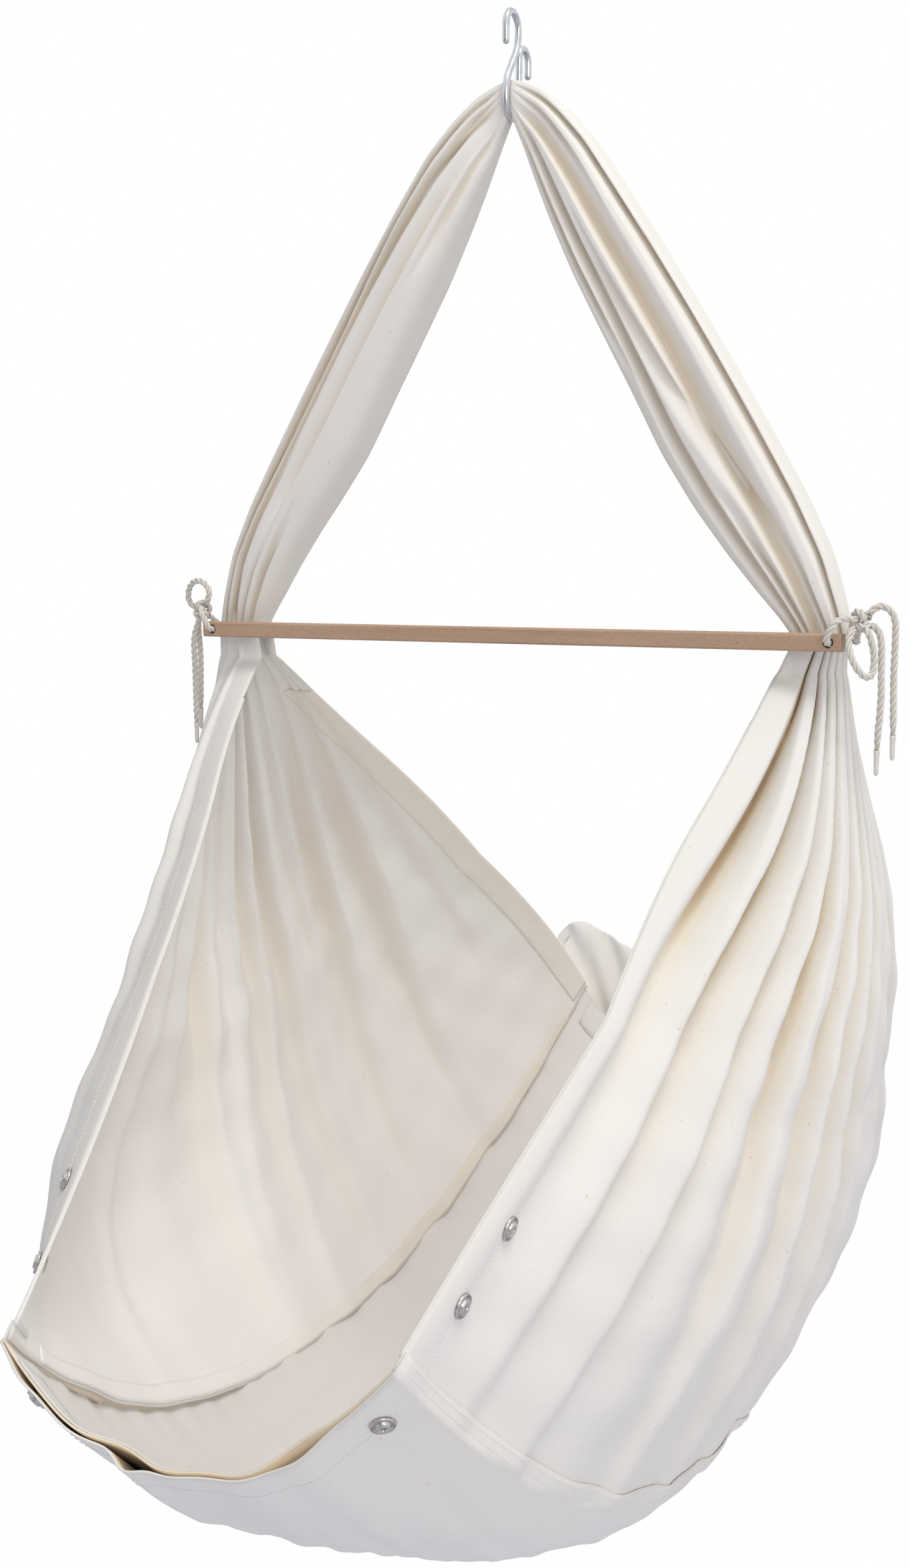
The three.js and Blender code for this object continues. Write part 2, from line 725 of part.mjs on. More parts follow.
function ropeRoute(name) {
  const side = name.startsWith('left') ? -1 : 1;
  const route = ropeRoutes[name].map(
    ([x, y, z]) => new THREE.Vector3(knotCentre.x + x, knotCentre.y + y, knotCentre.z + z),
  );
  route.unshift(knotSurface(route[0]));
  if (name.endsWith('loop')) {
    route.push(knotSurface(route[route.length - 1]));
  }
  return route.map((p) => new THREE.Vector3(side * p.x, p.y, p.z));
}

// Glued tip: the rope's end bound thin and round
function tipGeometry(route) {
  const r = tipDiameter / 2;
  const profile = [
    new THREE.Vector2(0, -tipLength),
    new THREE.Vector2(0.6 * r, -tipLength + 0.25 * r),
    new THREE.Vector2(0.9 * r, -tipLength + r),
    new THREE.Vector2(r, -tipLength / 2),
    new THREE.Vector2(1.25 * r, -seatGap),
    new THREE.Vector2(0, -seatGap),
  ];
  const tip = new THREE.LatheGeometry(profile, 10);
  tip.rotateX(Math.PI / 2);
  const end = route[route.length - 1];
  tip.translate(end.x, end.y, end.z);
  return tip;
}

// Press studs: a ring stud on the outer face and its cap behind the cloth
function studGeometry() {
  const outer = studDiameter / 2;
  const ring = studRingDiameter / 2;
  const hole = studHoleDiameter / 2;
  const profile = [
    new THREE.Vector2(0, 0),
    new THREE.Vector2(0.94 * outer, 0),
    new THREE.Vector2(outer, studFlange / 2),
    new THREE.Vector2(0.94 * outer, studFlange),
    new THREE.Vector2(1.15 * ring, studFlange),
    new THREE.Vector2(ring, 0.85 * studHeight),
    new THREE.Vector2(0.9 * ring, studHeight),
    new THREE.Vector2(1.15 * hole, studHeight),
    new THREE.Vector2(hole, 0.9 * studHeight),
    new THREE.Vector2(hole, studFlange),
    new THREE.Vector2(0, studFlange),
  ];
  return new THREE.LatheGeometry(profile, 18);
}

function capGeometry() {
  const r = capDiameter / 2;
  const profile = [
    new THREE.Vector2(0, 0),
    new THREE.Vector2(r, 0),
    new THREE.Vector2(0.93 * r, 0.6 * capHeight),
    new THREE.Vector2(0.6 * r, 0.95 * capHeight),
    new THREE.Vector2(0, capHeight),
  ];
  return new THREE.LatheGeometry(profile, 14);
}

// Seat on one triangle of a cloth grid: the middle of its inscribed circle and its normal
function triangleSeat(a, b, c, towards) {
  const normal = b.clone().sub(a).cross(c.clone().sub(a)).normalize();
  if (normal.dot(towards) < 0) {
    normal.negate();
  }
  const sides = [b.distanceTo(c), c.distanceTo(a), a.distanceTo(b)];
  const around = sides[0] + sides[1] + sides[2];
  const point = new THREE.Vector3();
  [a, b, c].forEach((corner, k) => point.addScaledVector(corner, sides[k] / around));
  return { point, normal };
}

const studWallRows = [9, 10];
const studCoverColumn = 2;

function wallSeat(grid, i, j, towards) {
  return triangleSeat(grid[i][j], grid[i + 1][j], grid[i + 1][j + 1], towards);
}

function coverSeat(grid, side, towards) {
  const last = grid[0].length - 1;
  const outer = side < 0 ? studCoverColumn : last - studCoverColumn;
  const inner = outer - side;
  return triangleSeat(grid[0][outer], grid[1][inner], grid[0][inner], towards);
}

function placeOn(mesh, seat) {
  mesh.quaternion.setFromUnitVectors(new THREE.Vector3(0, 1, 0), seat.normal);
  mesh.position.copy(seat.point).addScaledVector(seat.normal, seatGap);
}

function addStuds(name, side) {
  const outward = new THREE.Vector3(side, 0, -1);
  const inward = new THREE.Vector3(-side, 0, 1);
  const wallOuter = wallGrid(side, wallRows, 0, 1, (u, t) => wallHalfThickness(u, t));
  const hemInner = hemGrids(side, 0)[1];
  const seats = studWallRows.map((row) => [
    wallSeat(wallOuter, row, 0, outward),
    wallSeat(hemInner, row - hemFirstRow, 0, inward),
  ]);
  seats.push([
    coverSeat(coverGrid(cloth / 2), side, outward),
    coverSeat(coverGrid(-cloth / 2), side, inward),
  ]);
  seats.forEach(([studSeat, capSeat], k) => {
    placeOn(addMesh(`${name}_stud_${k + 1}`, studGeometry(), nickelMaterial), studSeat);
    placeOn(addMesh(`${name}_stud_cap_${k + 1}`, capGeometry(), nickelMaterial), capSeat);
  });
}

addMesh('s_hook', hookGeometry(), zincMaterial);
addMesh('crown_band', crownGeometry(), cottonMaterial);
addMesh('spreader_bar', await barGeometry(), beechMaterial);
addMesh('base_panel', basePanelGeometry(), cottonMaterial);
addMesh('base_panel_near_hem', baseHemGeometry(-1), cottonMaterial);
addMesh('base_panel_far_hem', baseHemGeometry(1), cottonMaterial);
addMesh('base_cover', baseCoverGeometry(), cottonMaterial);

for (const [name, side] of [['left', -1], ['right', 1]]) {
  addMesh(`${name}_leg`, legGeometry(side), cottonMaterial);
  addMesh(`${name}_wall`, wallGeometry(side), cottonMaterial);
  addMesh(`${name}_wall_near_hem`, shellGeometry(...hemGrids(side, 0)), cottonMaterial);
  addMesh(`${name}_wall_far_hem`, shellGeometry(...hemGrids(side, wallInnerColumns + 1)), cottonMaterial);
  addMesh(`${name}_seam_fell`, fellGeometry(side), cottonMaterial);
  addMesh(`${name}_tie_rope`, tubeGeometry(tieRoute(side), ropeDiameter, 8, 60), ropeMaterial);
  addMesh(`${name}_knot`, knotGeometry(side), ropeMaterial);
  addStuds(name, side);
}

for (const name of Object.keys(ropeRoutes)) {
  const route = ropeRoute(name);
  addMesh(name, tubeGeometry(route, ropeDiameter, 8, name.endsWith('loop') ? 22 : 16), ropeMaterial);
  if (name.includes('tail')) {
    addMesh(`${name}_tip`, tipGeometry(route), ropeMaterial);
  }
}

export default model;
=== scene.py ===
# %% [markdown]
# # A hanging baby cradle, dressed for its portrait
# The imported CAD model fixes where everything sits: one steel S-hook, a band of cotton over it,
# a square beech bar roped behind its ends, and the boat-shaped sling below. This lesson keeps that
# frame and swaps every soft solid for cloth and rope that look like the real ones.

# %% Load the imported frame
import bpy
import numpy as np
from mathutils import Matrix, Vector


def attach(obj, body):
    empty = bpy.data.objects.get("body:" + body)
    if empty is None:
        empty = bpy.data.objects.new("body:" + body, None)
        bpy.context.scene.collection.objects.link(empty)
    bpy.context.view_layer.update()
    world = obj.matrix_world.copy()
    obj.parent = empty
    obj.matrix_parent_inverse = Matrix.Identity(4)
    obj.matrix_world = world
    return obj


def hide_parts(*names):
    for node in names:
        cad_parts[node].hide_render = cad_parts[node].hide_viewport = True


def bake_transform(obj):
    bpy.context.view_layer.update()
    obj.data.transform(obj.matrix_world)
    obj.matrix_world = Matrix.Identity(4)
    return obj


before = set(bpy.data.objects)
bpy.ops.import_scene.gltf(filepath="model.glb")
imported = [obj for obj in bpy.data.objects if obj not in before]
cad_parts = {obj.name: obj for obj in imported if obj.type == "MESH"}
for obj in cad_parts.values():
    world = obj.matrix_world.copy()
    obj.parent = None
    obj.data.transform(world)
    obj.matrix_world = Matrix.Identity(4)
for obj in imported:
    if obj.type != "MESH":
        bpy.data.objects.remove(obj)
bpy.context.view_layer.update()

# %% [markdown]
# ## The camera
# A portrait-format camera stands in front of the cradle and to its right, a little above the bar, and tips
# down slightly. Blender's lens helpers assume its own render size, so the lens is worked out from
# the picture's long side and the camera's axes are written straight into its matrix.

# %% Camera
PICTURE_HEIGHT = 2520
FOCAL_PIXELS = 2650
SENSOR = 36
CAMERA_AZIMUTH = np.radians(25)
CAMERA_DISTANCE = 1.4494
CAMERA_HEIGHT = -0.4509
CAMERA_PITCH = np.radians(7.7)
CAMERA_YAW = np.radians(1.89)

camera_data = bpy.data.cameras.new("portrait_camera")
camera_data.sensor_width = SENSOR
camera_data.lens = FOCAL_PIXELS / PICTURE_HEIGHT * SENSOR
camera = bpy.data.objects.new("portrait_camera", camera_data)
bpy.context.scene.collection.objects.link(camera)
heading = -(CAMERA_AZIMUTH + CAMERA_YAW)
forward = Vector((np.sin(heading) * np.cos(CAMERA_PITCH), np.cos(heading) * np.cos(CAMERA_PITCH),
                  -np.sin(CAMERA_PITCH)))
rightward = forward.cross(Vector((0, 0, 1))).normalized()
upward = rightward.cross(forward)
spot = Vector((CAMERA_DISTANCE * np.sin(CAMERA_AZIMUTH), -CAMERA_DISTANCE * np.cos(CAMERA_AZIMUTH),
               CAMERA_HEIGHT))
camera.matrix_world = Matrix.Translation(spot) @ Matrix((rightward, upward, -forward)).transposed().to_4x4()
bpy.context.scene.camera = camera
bpy.context.scene.view_settings.view_transform = "Standard"
print("camera at", [round(c, 3) for c in spot], "lens", round(camera_data.lens, 2), "mm")

# %% [markdown]
# ## Surfaces from formulas
# Every new piece is a grid of points from a formula. One helper turns any number of such grids into
# one mesh: it can close a grid round on itself, as for a tube, cap its ends, store how deep each point
# lies in a fold, and lay out a UV map in metres, so that a weave keeps its size.

# %% Mesh helpers
def clamp(value):
    """The value held between 0 and 1."""
    return np.clip(value, 0, 1)


def smooth(low, high, value):
    """Smooth step: 0 below low, 1 above high, and an S-curve between."""
    k = clamp((value - low) / (high - low))
    return k * k * (3 - 2 * k)


def unit(vectors):
    """Each vector, along the last axis, at length 1."""
    return vectors / np.linalg.norm(vectors, axis=-1, keepdims=True)


def on_grid(*values):
    """The values as float arrays of one shape."""
    return np.broadcast_arrays(*(np.asarray(value, float) for value in values))


def link_in(piece):
    """Put an object into the scene."""
    bpy.context.scene.collection.objects.link(piece)
    return piece


def grid_faces(rows, columns, wrap):
    """Quads of a rows x columns grid, counted row by row; wrap joins the last column to the first."""
    i, j = np.meshgrid(np.arange(rows - 1), np.arange(columns if wrap else columns - 1), indexing="ij")
    a, b = i * columns + j, i * columns + (j + 1) % columns
    return np.stack([a, b, b + columns, a + columns], axis=-1).reshape(-1, 4)


def cloth_lengths(grid):
    """UV in metres: x adds up the longest step from column to column, y the mean step from row to row."""
    across = np.linalg.norm(np.diff(grid, axis=1), axis=-1)
    down = np.linalg.norm(np.diff(grid, axis=0), axis=-1)
    u = np.concatenate([[0], np.cumsum(across.max(axis=0))])
    v = np.concatenate([[0], np.cumsum(down.mean(axis=1))])
    return np.stack(np.broadcast_arrays(u[None, :], v[:, None]), axis=-1)


def make_piece(name, grids, wrap=False, caps=False, fold=None, uvs=None, flip=False, inside=None):
    """One mesh from a list of (rows, columns, 3) grids. Each point carries fold_depth, the painted fold
    shade of its outer face, and fold_inside, the painted fold shade of its inner face."""
    points, faces, depths, coords, start = [], [], [], [], 0
    for k, grid in enumerate(grids):
        rows, columns = grid.shape[:2]
        quads = grid_faces(rows, columns, wrap) + start
        faces.extend((quads[:, ::-1] if flip else quads).tolist())
        if caps:
            first = np.arange(columns) + start
            last = first + (rows - 1) * columns
            faces.extend(end.tolist() for end in ([first, last[::-1]] if flip else [first[::-1], last]))
        points.append(grid.reshape(-1, 3))
        depths.append(np.zeros(rows * columns) if fold is None else np.asarray(fold[k]).reshape(-1))
        uv = cloth_lengths(grid) if uvs is None else uvs[k]
        coords.append(np.asarray(uv).reshape(-1, 2))
        start += rows * columns
    mesh = bpy.data.meshes.new(name)
    mesh.from_pydata(np.concatenate(points).tolist(), [], faces)
    mesh.update()
    depth = mesh.attributes.new("fold_depth", "FLOAT", "POINT")
    depth.data.foreach_set("value", np.concatenate(depths).astype(np.float32))
    if inside is not None:
        within = mesh.attributes.new("fold_inside", "FLOAT", "POINT")
        within.data.foreach_set("value", np.asarray(inside, dtype=np.float32).reshape(-1))
    corner = np.empty(len(mesh.loops), dtype=np.int32)
    mesh.loops.foreach_get("vertex_index", corner)
    layer = mesh.uv_layers.new(name="UVMap")
    layer.data.foreach_set("uv", np.concatenate(coords)[corner].astype(np.float32).reshape(-1))
    mesh.polygons.foreach_set("use_smooth", np.ones(len(mesh.polygons), dtype=bool))
    return link_in(bpy.data.objects.new(name, mesh))


def dress(piece, material, body="sling", stands_for=()):
    """Give a piece its finish, the body it rides on, and the CAD nodes that it stands for."""
    piece.data.materials.append(material)
    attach(piece, body)
    if stands_for:
        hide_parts(*stands_for)
    return piece


def hang(piece, node):
    """A piece of the sling's cotton that stands for one CAD node."""
    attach(piece, "sling")
    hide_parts(node)


print("helpers ready")

# %% [markdown]
# ## Materials: some small helpers first
# Each finish is a node tree. Writing the same four lines for every node would hide the recipe, so one
# function adds a node and fills its sockets: a plain value is set on the socket, and a pair of node and
# output name is linked to it. The kinds of node that every finish needs have a function of their own.

# %% Node helpers
def add_node(tree, kind, sockets=(), **settings):
    """New node with its properties set; sockets maps an input's name or number to a value or a link."""
    node = tree.nodes.new("ShaderNode" + kind)
    for key, value in settings.items():
        setattr(node, key, value)
    for key, value in dict(sockets).items():
        if isinstance(value, tuple) and isinstance(value[0], bpy.types.Node):
            tree.links.new(value[0].outputs[value[1]], node.inputs[key])
        else:
            node.inputs[key].default_value = value
    return node


def empty_tree(owner):
    """The node tree of a material or world, with nothing in it."""
    owner.use_nodes = True
    owner.node_tree.nodes.clear()
    return owner.node_tree


def new_material(name, finish):
    """Material with a Principled shader on its output; finish holds the numbers set on its sockets."""
    material = bpy.data.materials.new(name)
    tree = empty_tree(material)
    shader = add_node(tree, "BsdfPrincipled", finish)
    add_node(tree, "OutputMaterial", {"Surface": (shader, "BSDF")})
    return material, tree, shader


def feed(tree, source, shader, socket):
    """Link a pair of node and output name to one of the shader's sockets."""
    tree.links.new(source[0].outputs[source[1]], shader.inputs[socket])


def mix_colour(tree, factor, a, b):
    """Mix node for two colours; returns the pair that links its result."""
    return (add_node(tree, "Mix", {0: factor, 6: a, 7: b}, data_type="RGBA"), 2)


def ramp(tree, value, low, high, out_low=0.0, out_high=1.0):
    """Map Range from low..high to out_low..out_high, clamped."""
    node = add_node(tree, "MapRange", {"Value": value, "From Min": low, "From Max": high,
                                       "To Min": out_low, "To Max": out_high})
    return (node, "Result")


def noise(tree, vector, scale, detail, **more):
    """Noise over a coordinate. Three scales stretch it, one for each axis; otherwise it is even."""
    if isinstance(scale, tuple):
        vector, scale = (add_node(tree, "Mapping", {"Vector": vector, "Scale": scale}), "Vector"), 1.0
    return (add_node(tree, "TexNoise", {"Vector": vector, "Scale": scale, "Detail": detail, **more}), "Fac")


def bump(tree, height, distance, strength, **more):
    """Bump from a height between 0 and 1, with its distance in metres."""
    return (add_node(tree, "Bump", {"Height": height, "Distance": distance, "Strength": strength, **more}), "Normal")


# %% [markdown]
# ## Cotton
# The sling is undyed plain-weave cotton: matt and slightly warm. The folds get a painted tan shade, for the
# light that bounces from cloth to cloth there, which follows the fold shade stored in each piece. Hems are two
# layers thick, so less daylight comes through: they are painted warmer, and so is the inside of the pocket;
# the hems are also painted brighter. Bump gives, from coarse to fine, soft rumples, slubs along the yarns, and the
# weave itself.

# %% Cotton material
THREAD = 0.0009
MOTTLE_SCALE, RUMPLE_SCALE, FLECK_SCALE = 9.0, 26.0, 210.0
SLUB_STRETCHES = ((900, 60, 1), (60, 900, 1))
FLECK_COLOUR = (0.36, 0.26, 0.15, 1)


def cotton(name, base, crease, deep, depth_name="fold_depth", rumples=0.0022):
    """Cotton that goes from its base colour over the crease colour to the deep one as the stored fold shade
    grows, a painted shade of the folds, with brown seed flecks; rumples is the height of the coarse bump in metres."""
    material, tree, shader = new_material(name, {"Roughness": 0.92, "Specular IOR Level": 0.25, "Sheen Weight": 0.12,
                                                 "Sheen Roughness": 0.6})
    uv = (add_node(tree, "UVMap", uv_map="UVMap"), "UV")
    place = (add_node(tree, "TexCoord"), "Object")
    depth = (add_node(tree, "Attribute", attribute_name=depth_name), "Fac")
    mottle = noise(tree, place, MOTTLE_SCALE, 5.0, Roughness=0.6)
    plain = mix_colour(tree, ramp(tree, mottle, 0.3, 0.72, 0.0, 0.10), (*base, 1), (*crease, 1))
    # Painted shade: the stored fold shade mixes in the crease colour and then the deep colour.
    folded = mix_colour(tree, ramp(tree, depth, 0.15, 0.8), plain, (*crease, 1))
    fold_shaded = mix_colour(tree, ramp(tree, depth, 0.65, 1.0), folded, (*deep, 1))
    seeds = ramp(tree, noise(tree, place, FLECK_SCALE, 2.0), 0.735, 0.78, 0.0, 0.30)
    coloured = mix_colour(tree, seeds, fold_shaded, FLECK_COLOUR)
    lengthwise, crosswise = (noise(tree, uv, stretch, 2.0) for stretch in SLUB_STRETCHES)
    slubs = (add_node(tree, "Math", {0: lengthwise, 1: crosswise}, operation="ADD"), 0)
    yarn = mix_colour(tree, ramp(tree, slubs, 0.8, 1.25, 0.0, 0.07), coloured, (*crease, 1))
    feed(tree, yarn, shader, "Base Color")
    parts = add_node(tree, "SeparateXYZ", {"Vector": uv})
    waves = []
    for axis in ("X", "Y"):
        turns = add_node(tree, "Math", {0: (parts, axis), 1: 2 * np.pi / THREAD}, operation="MULTIPLY")
        waves.append((add_node(tree, "Math", {0: (turns, 0)}, operation="SINE"), 0))
    weave = (add_node(tree, "Math", {0: waves[0], 1: waves[1]}, operation="MULTIPLY"), 0)
    coarse = bump(tree, noise(tree, place, RUMPLE_SCALE, 4.0, Distortion=0.4), rumples, 0.6)
    middle = bump(tree, slubs, 0.0002, 0.35, Normal=coarse)
    feed(tree, bump(tree, weave, 0.00004, 0.25, Normal=middle), shader, "Normal")
    return material


# The crease and deep colours of each finish are painted fold shade.
cotton_outside = cotton("undyed_cotton", (0.865, 0.858, 0.835), (0.80, 0.735, 0.62), (0.62, 0.48, 0.32))
# Painted light: the inner face is the same cloth painted brighter and warmer than the outside.
cotton_inside_painted_light = cotton("undyed_cotton_inner_face_painted_light", (0.955, 0.94, 0.92), (0.91, 0.835, 0.74), (0.79, 0.655, 0.50),
                       "fold_inside")
cotton_band = cotton("undyed_cotton_band", (0.90, 0.878, 0.838), (0.84, 0.765, 0.645), (0.64, 0.50, 0.34),
                     rumples=0.0005)
# Painted shade: the lying face is the same cloth painted darker.
cotton_lying_painted_shade = cotton("undyed_cotton_lying_face_painted_shade", (0.83, 0.815, 0.80), (0.80, 0.72, 0.62), (0.70, 0.56, 0.42),
                      "fold_inside")
# Painted light and shade: the hems are the same cloth painted brighter, and warmer for the less daylight through two
# layers.
cotton_hem_painted_light_and_shade = cotton("undyed_cotton_hem_painted_light_and_shade", (0.97, 0.93, 0.86), (0.88, 0.79, 0.67), (0.70, 0.56, 0.42))
# Painted shade: the panel's underside in the pocket is the same cloth painted tan.
cotton_pocket_painted_shade = cotton("undyed_cotton_pocket_painted_shade", (0.93, 0.81, 0.62), (0.85, 0.68, 0.46), (0.64, 0.46, 0.28),
                       "fold_inside")
print("cotton finishes:", sorted(m.name for m in bpy.data.materials if m.name.startswith("undyed_cotton")))

# %% [markdown]
# ## Rope: three strands laid round each other
# The ties are 6 mm laid cotton rope. A plain tube would look like wire, so three strand tubes wind round
# the rope's own line. The line itself is a smooth spline through given points. A frame is carried
# along it without twist, and each strand's middle circles in that frame once every 19 mm.

# %% Smooth lines and laid rope
def spline(points, spacing):
    """Centripetal Catmull-Rom curve through the points, cut into steps of about the given spacing.
    Between two points it blends straight lines, weighted by the square root of the distances."""
    p = np.asarray(points, dtype=float)
    p = np.vstack([2 * p[0] - p[1], p, 2 * p[-1] - p[-2]])
    gaps = np.sqrt(np.linalg.norm(np.diff(p, axis=0), axis=1))
    pieces = []
    for k in range(1, len(p) - 2):
        t0, t1, t2, t3 = np.concatenate([[0], np.cumsum(gaps[k - 1:k + 2])])
        steps = max(2, int(np.ceil(np.linalg.norm(p[k + 1] - p[k]) / spacing)))
        t = np.linspace(t1, t2, steps, endpoint=False)[:, None]
        a1 = ((t1 - t) * p[k - 1] + (t - t0) * p[k]) / (t1 - t0)
        a2 = ((t2 - t) * p[k] + (t - t1) * p[k + 1]) / (t2 - t1)
        a3 = ((t3 - t) * p[k + 1] + (t - t2) * p[k + 2]) / (t3 - t2)
        b1 = ((t2 - t) * a1 + (t - t0) * a2) / (t2 - t0)
        b2 = ((t3 - t) * a2 + (t - t1) * a3) / (t3 - t1)
        pieces.append(((t2 - t) * b1 + (t - t1) * b2) / (t2 - t1))
    return np.vstack([*pieces, p[-2:-1]])


NOT_ALONG_A_ROPE = (0.31, 0.52, 0.79)


def carried_frame(line):
    """Unit tangent and two side directions at each point, carried along the line without twist."""
    tangent = unit(np.gradient(line, axis=0))
    side = np.cross(tangent[0], NOT_ALONG_A_ROPE)
    sides = []
    for direction in tangent:
        side = unit(side - direction * (side @ direction))
        sides.append(side)
    sides = np.array(sides)
    return tangent, sides, np.cross(tangent, sides)


def along(line):
    """Distance travelled from the start of a line at each of its points."""
    return np.concatenate([[0], np.cumsum(np.linalg.norm(np.diff(line, axis=0), axis=1))])


def tube(line, radius, sides):
    """Tube round a line: at each point a ring of that radius in the carried frame."""
    _, a, b = carried_frame(line)
    angle = np.linspace(0, 2 * np.pi, sides, endpoint=False)
    ring = np.cos(angle)[None, :, None] * a[:, None] + np.sin(angle)[None, :, None] * b[:, None]
    return line[:, None] + np.broadcast_to(radius, len(line))[:, None, None] * ring


ROPE = 0.006
STRAND = 0.00158
LAY = 0.019
STRAND_GIRTH = 0.01
FIBRE_SLANT = 0.35
STEP_ALONG = 0.0016
SLIM_END = 0.012


def laid_rope(line, slim=0.0):
    """Three strands: strand k's middle is the line plus 1.42 mm at angle 2 pi (s / 19 mm + k / 3). The last
    12 mm get thinner by the share slim. Returns grids, depths between the strands and UV maps."""
    _, a, b = carried_frame(line)
    s = along(line)
    taper = 1 - slim * smooth(s[-1] - SLIM_END, s[-1], s)
    angle = np.linspace(0, 2 * np.pi, 8, endpoint=False)
    grids, depths, uvs = [], [], []
    for k in range(3):
        turn = 2 * np.pi * (s / LAY + k / 3)
        out = np.cos(turn)[:, None] * a + np.sin(turn)[:, None] * b
        round_it = -np.sin(turn)[:, None] * a + np.cos(turn)[:, None] * b
        middle = line + (ROPE / 2 - STRAND) * taper[:, None] * out
        ring = np.cos(angle)[None, :, None] * out[:, None] + np.sin(angle)[None, :, None] * round_it[:, None]
        grid = middle[:, None] + STRAND * taper[:, None, None] * ring
        grids.append(grid)
        reach = np.linalg.norm(grid - line[:, None], axis=-1) / (ROPE / 2)
        depths.append(np.clip(1.25 * (0.92 - reach), 0, 1))
        girth = angle[None, :] / (2 * np.pi) * STRAND_GIRTH + s[:, None] * FIBRE_SLANT
        uvs.append(np.stack(np.broadcast_arrays(girth, s[:, None]), axis=-1))
    return grids, depths, uvs


def rope_piece(name, line, slim=0.0):
    """The three strands along a line as one mesh."""
    grids, depths, uvs = laid_rope(line, slim)
    return make_piece(name, grids, wrap=True, caps=True, fold=depths, uvs=uvs)


print("rope of", 1000 * ROPE, "mm with a lay of", 1000 * LAY, "mm")

# %% [markdown]
# Cotton rope is creamier than the sling and has short fibres that run along each strand. A noise
# stretched along the UV map gives them, and a painted shade, from the depth between the strands, darkens
# the grooves between them.

# %% Rope material
rope_cotton, tree, shader = new_material("laid_cotton_rope", {"Roughness": 0.88, "Specular IOR Level": 0.3,
                                                              "Sheen Weight": 0.25})
fibre = noise(tree, (add_node(tree, "UVMap", uv_map="UVMap"), "UV"), (2600, 160, 1), 3.0)
depth = (add_node(tree, "Attribute", attribute_name="fold_depth"), "Fac")
worn = mix_colour(tree, ramp(tree, fibre, 0.35, 0.7), (0.89, 0.875, 0.83, 1), (0.76, 0.715, 0.63, 1))
# Painted shade: the grooves between the strands are darkened to brown.
feed(tree, mix_colour(tree, ramp(tree, depth, 0.1, 0.9), worn, (0.44, 0.37, 0.29, 1)), shader, "Base Color")
feed(tree, bump(tree, fibre, 0.0003, 0.8), shader, "Normal")
print("rope finish ready")

# %% [markdown]
# ## Loose rope ends and bows
# Each tie is knotted in front of the bar's end, then makes a bow and two tails that hang under their
# own weight and end in a thin glued tip. The routes are the ones that the CAD model uses, in
# millimetres from the knot's middle: outwards, back and up.

# %% Free cords
KNOT = np.array([0.311, -0.0214, -0.497])
KNOT_RADII = np.array([0.008, 0.009, 0.009])
ROUTES = {
    "right_bow_loop": [
        [-4.5, -9.5, -8], [-5, -14, -14.5], [-3.5, -17.5, -22], [0, -20, -30], [4.5, -20, -37.5],
        [9, -16, -42.5], [12, -10, -42], [13, -5.5, -35.5], [12.5, -4, -26], [10.5, -5, -16], [8.5, -6, -9.5]],
    "left_bow_loop": [
        [-7.5, -3.5, 8.5], [-10.5, -4, 13.5], [-10.5, -4, 19], [-7, -4, 24], [-1, -3, 27.3],
        [6, -2, 27.3], [12.5, -0.5, 23.5], [16.5, 1, 17], [17, 2, 10], [13.5, 2.5, 4.5]],
    "right_tail_outer": [
        [9.8, 1.6, 8.8], [14.5, 2.5, 11.4], [19.8, 3.5, 10], [24, 4.5, 5.6], [26, 5.5, -1], [26.3, 6.2, -9],
        [26.2, 6.6, -20], [26, 7, -33], [26, 7, -47], [26.5, 6.5, -63], [27, 6, -78], [27, 6, -89]],
    "right_tail_inner": [
        [11.5, 3.5, -5.5], [15, 4, -11.5], [16.5, 3.5, -20], [17, 2.5, -31], [17.5, 1.5, -43],
        [18, 1, -57], [17.5, 1, -72], [16.5, 1, -87], [16, 1, -101]],
    "left_tail_outer": [
        [9, 5.5, -10], [11.5, 9, -17], [13, 12, -27], [13.5, 14, -40], [14, 15, -55], [14.5, 15, -71],
        [15, 15, -95]],
    "left_tail_inner": [
        [-1, -8.5, -12], [2, -9.5, -20], [4.5, -8.5, -30], [6, -6, -43], [7, -4, -58], [7.5, -3, -75],
        [8, -2, -93], [8, -2, -107]]}
KNOT_GAP = 0.0005
TIP_LENGTH = 0.020
TIP_RADIUS = 0.0021
TAIL_SLIM = 0.3


def off_knot(place):
    """Where a rope that runs towards a place leaves the knot: its ellipsoid grown by half a millimetre."""
    direction = unit(place)
    return direction * (1 / np.linalg.norm(direction / KNOT_RADII) + KNOT_GAP)


def glued_tip(name, end):
    """Rope end bound thin: rings that narrow from the rope's girth to a rounded point."""
    drop = np.array([0.0, 0.08, 0.2, 0.45, 0.7, 0.88, 0.96, 0.995])
    width = np.array([1.32, 1.2, 1.04, 0.98, 0.95, 0.88, 0.6, 0.1])
    line = end[None] - np.stack([0 * drop, 0 * drop, drop * TIP_LENGTH], axis=-1)
    rings = tube(line, width * TIP_RADIUS, 12)
    return make_piece(name, [rings], wrap=True, caps=True)


for name, route in ROUTES.items():
    side = -1 if name.startswith("left") else 1
    tail = not name.endswith("loop")
    points = np.array(route) / 1000
    points = np.vstack([off_knot(points[0]), points] + ([] if tail else [off_knot(points[-1])]))
    line = spline((points + KNOT) * (side, 1, 1), STEP_ALONG)
    piece = dress(rope_piece(name + "_rope", line, TAIL_SLIM if tail else 0.0), rope_cotton, stands_for=[name])
    tips = [dress(glued_tip(name + "_glued_tip", line[-1]), rope_cotton,
                  stands_for=[name + "_tip"])] if tail else []

# %% [markdown]
# ## Knots and tie turns
# Each tie leaves its knot over the bar's end, goes back through the hole, runs round behind the
# gather and comes out to the knot again. The knot is the tight middle of a bow: here a closed
# three-lobed line, the shape of an overhand knot pulled into a ball, in the same laid rope.

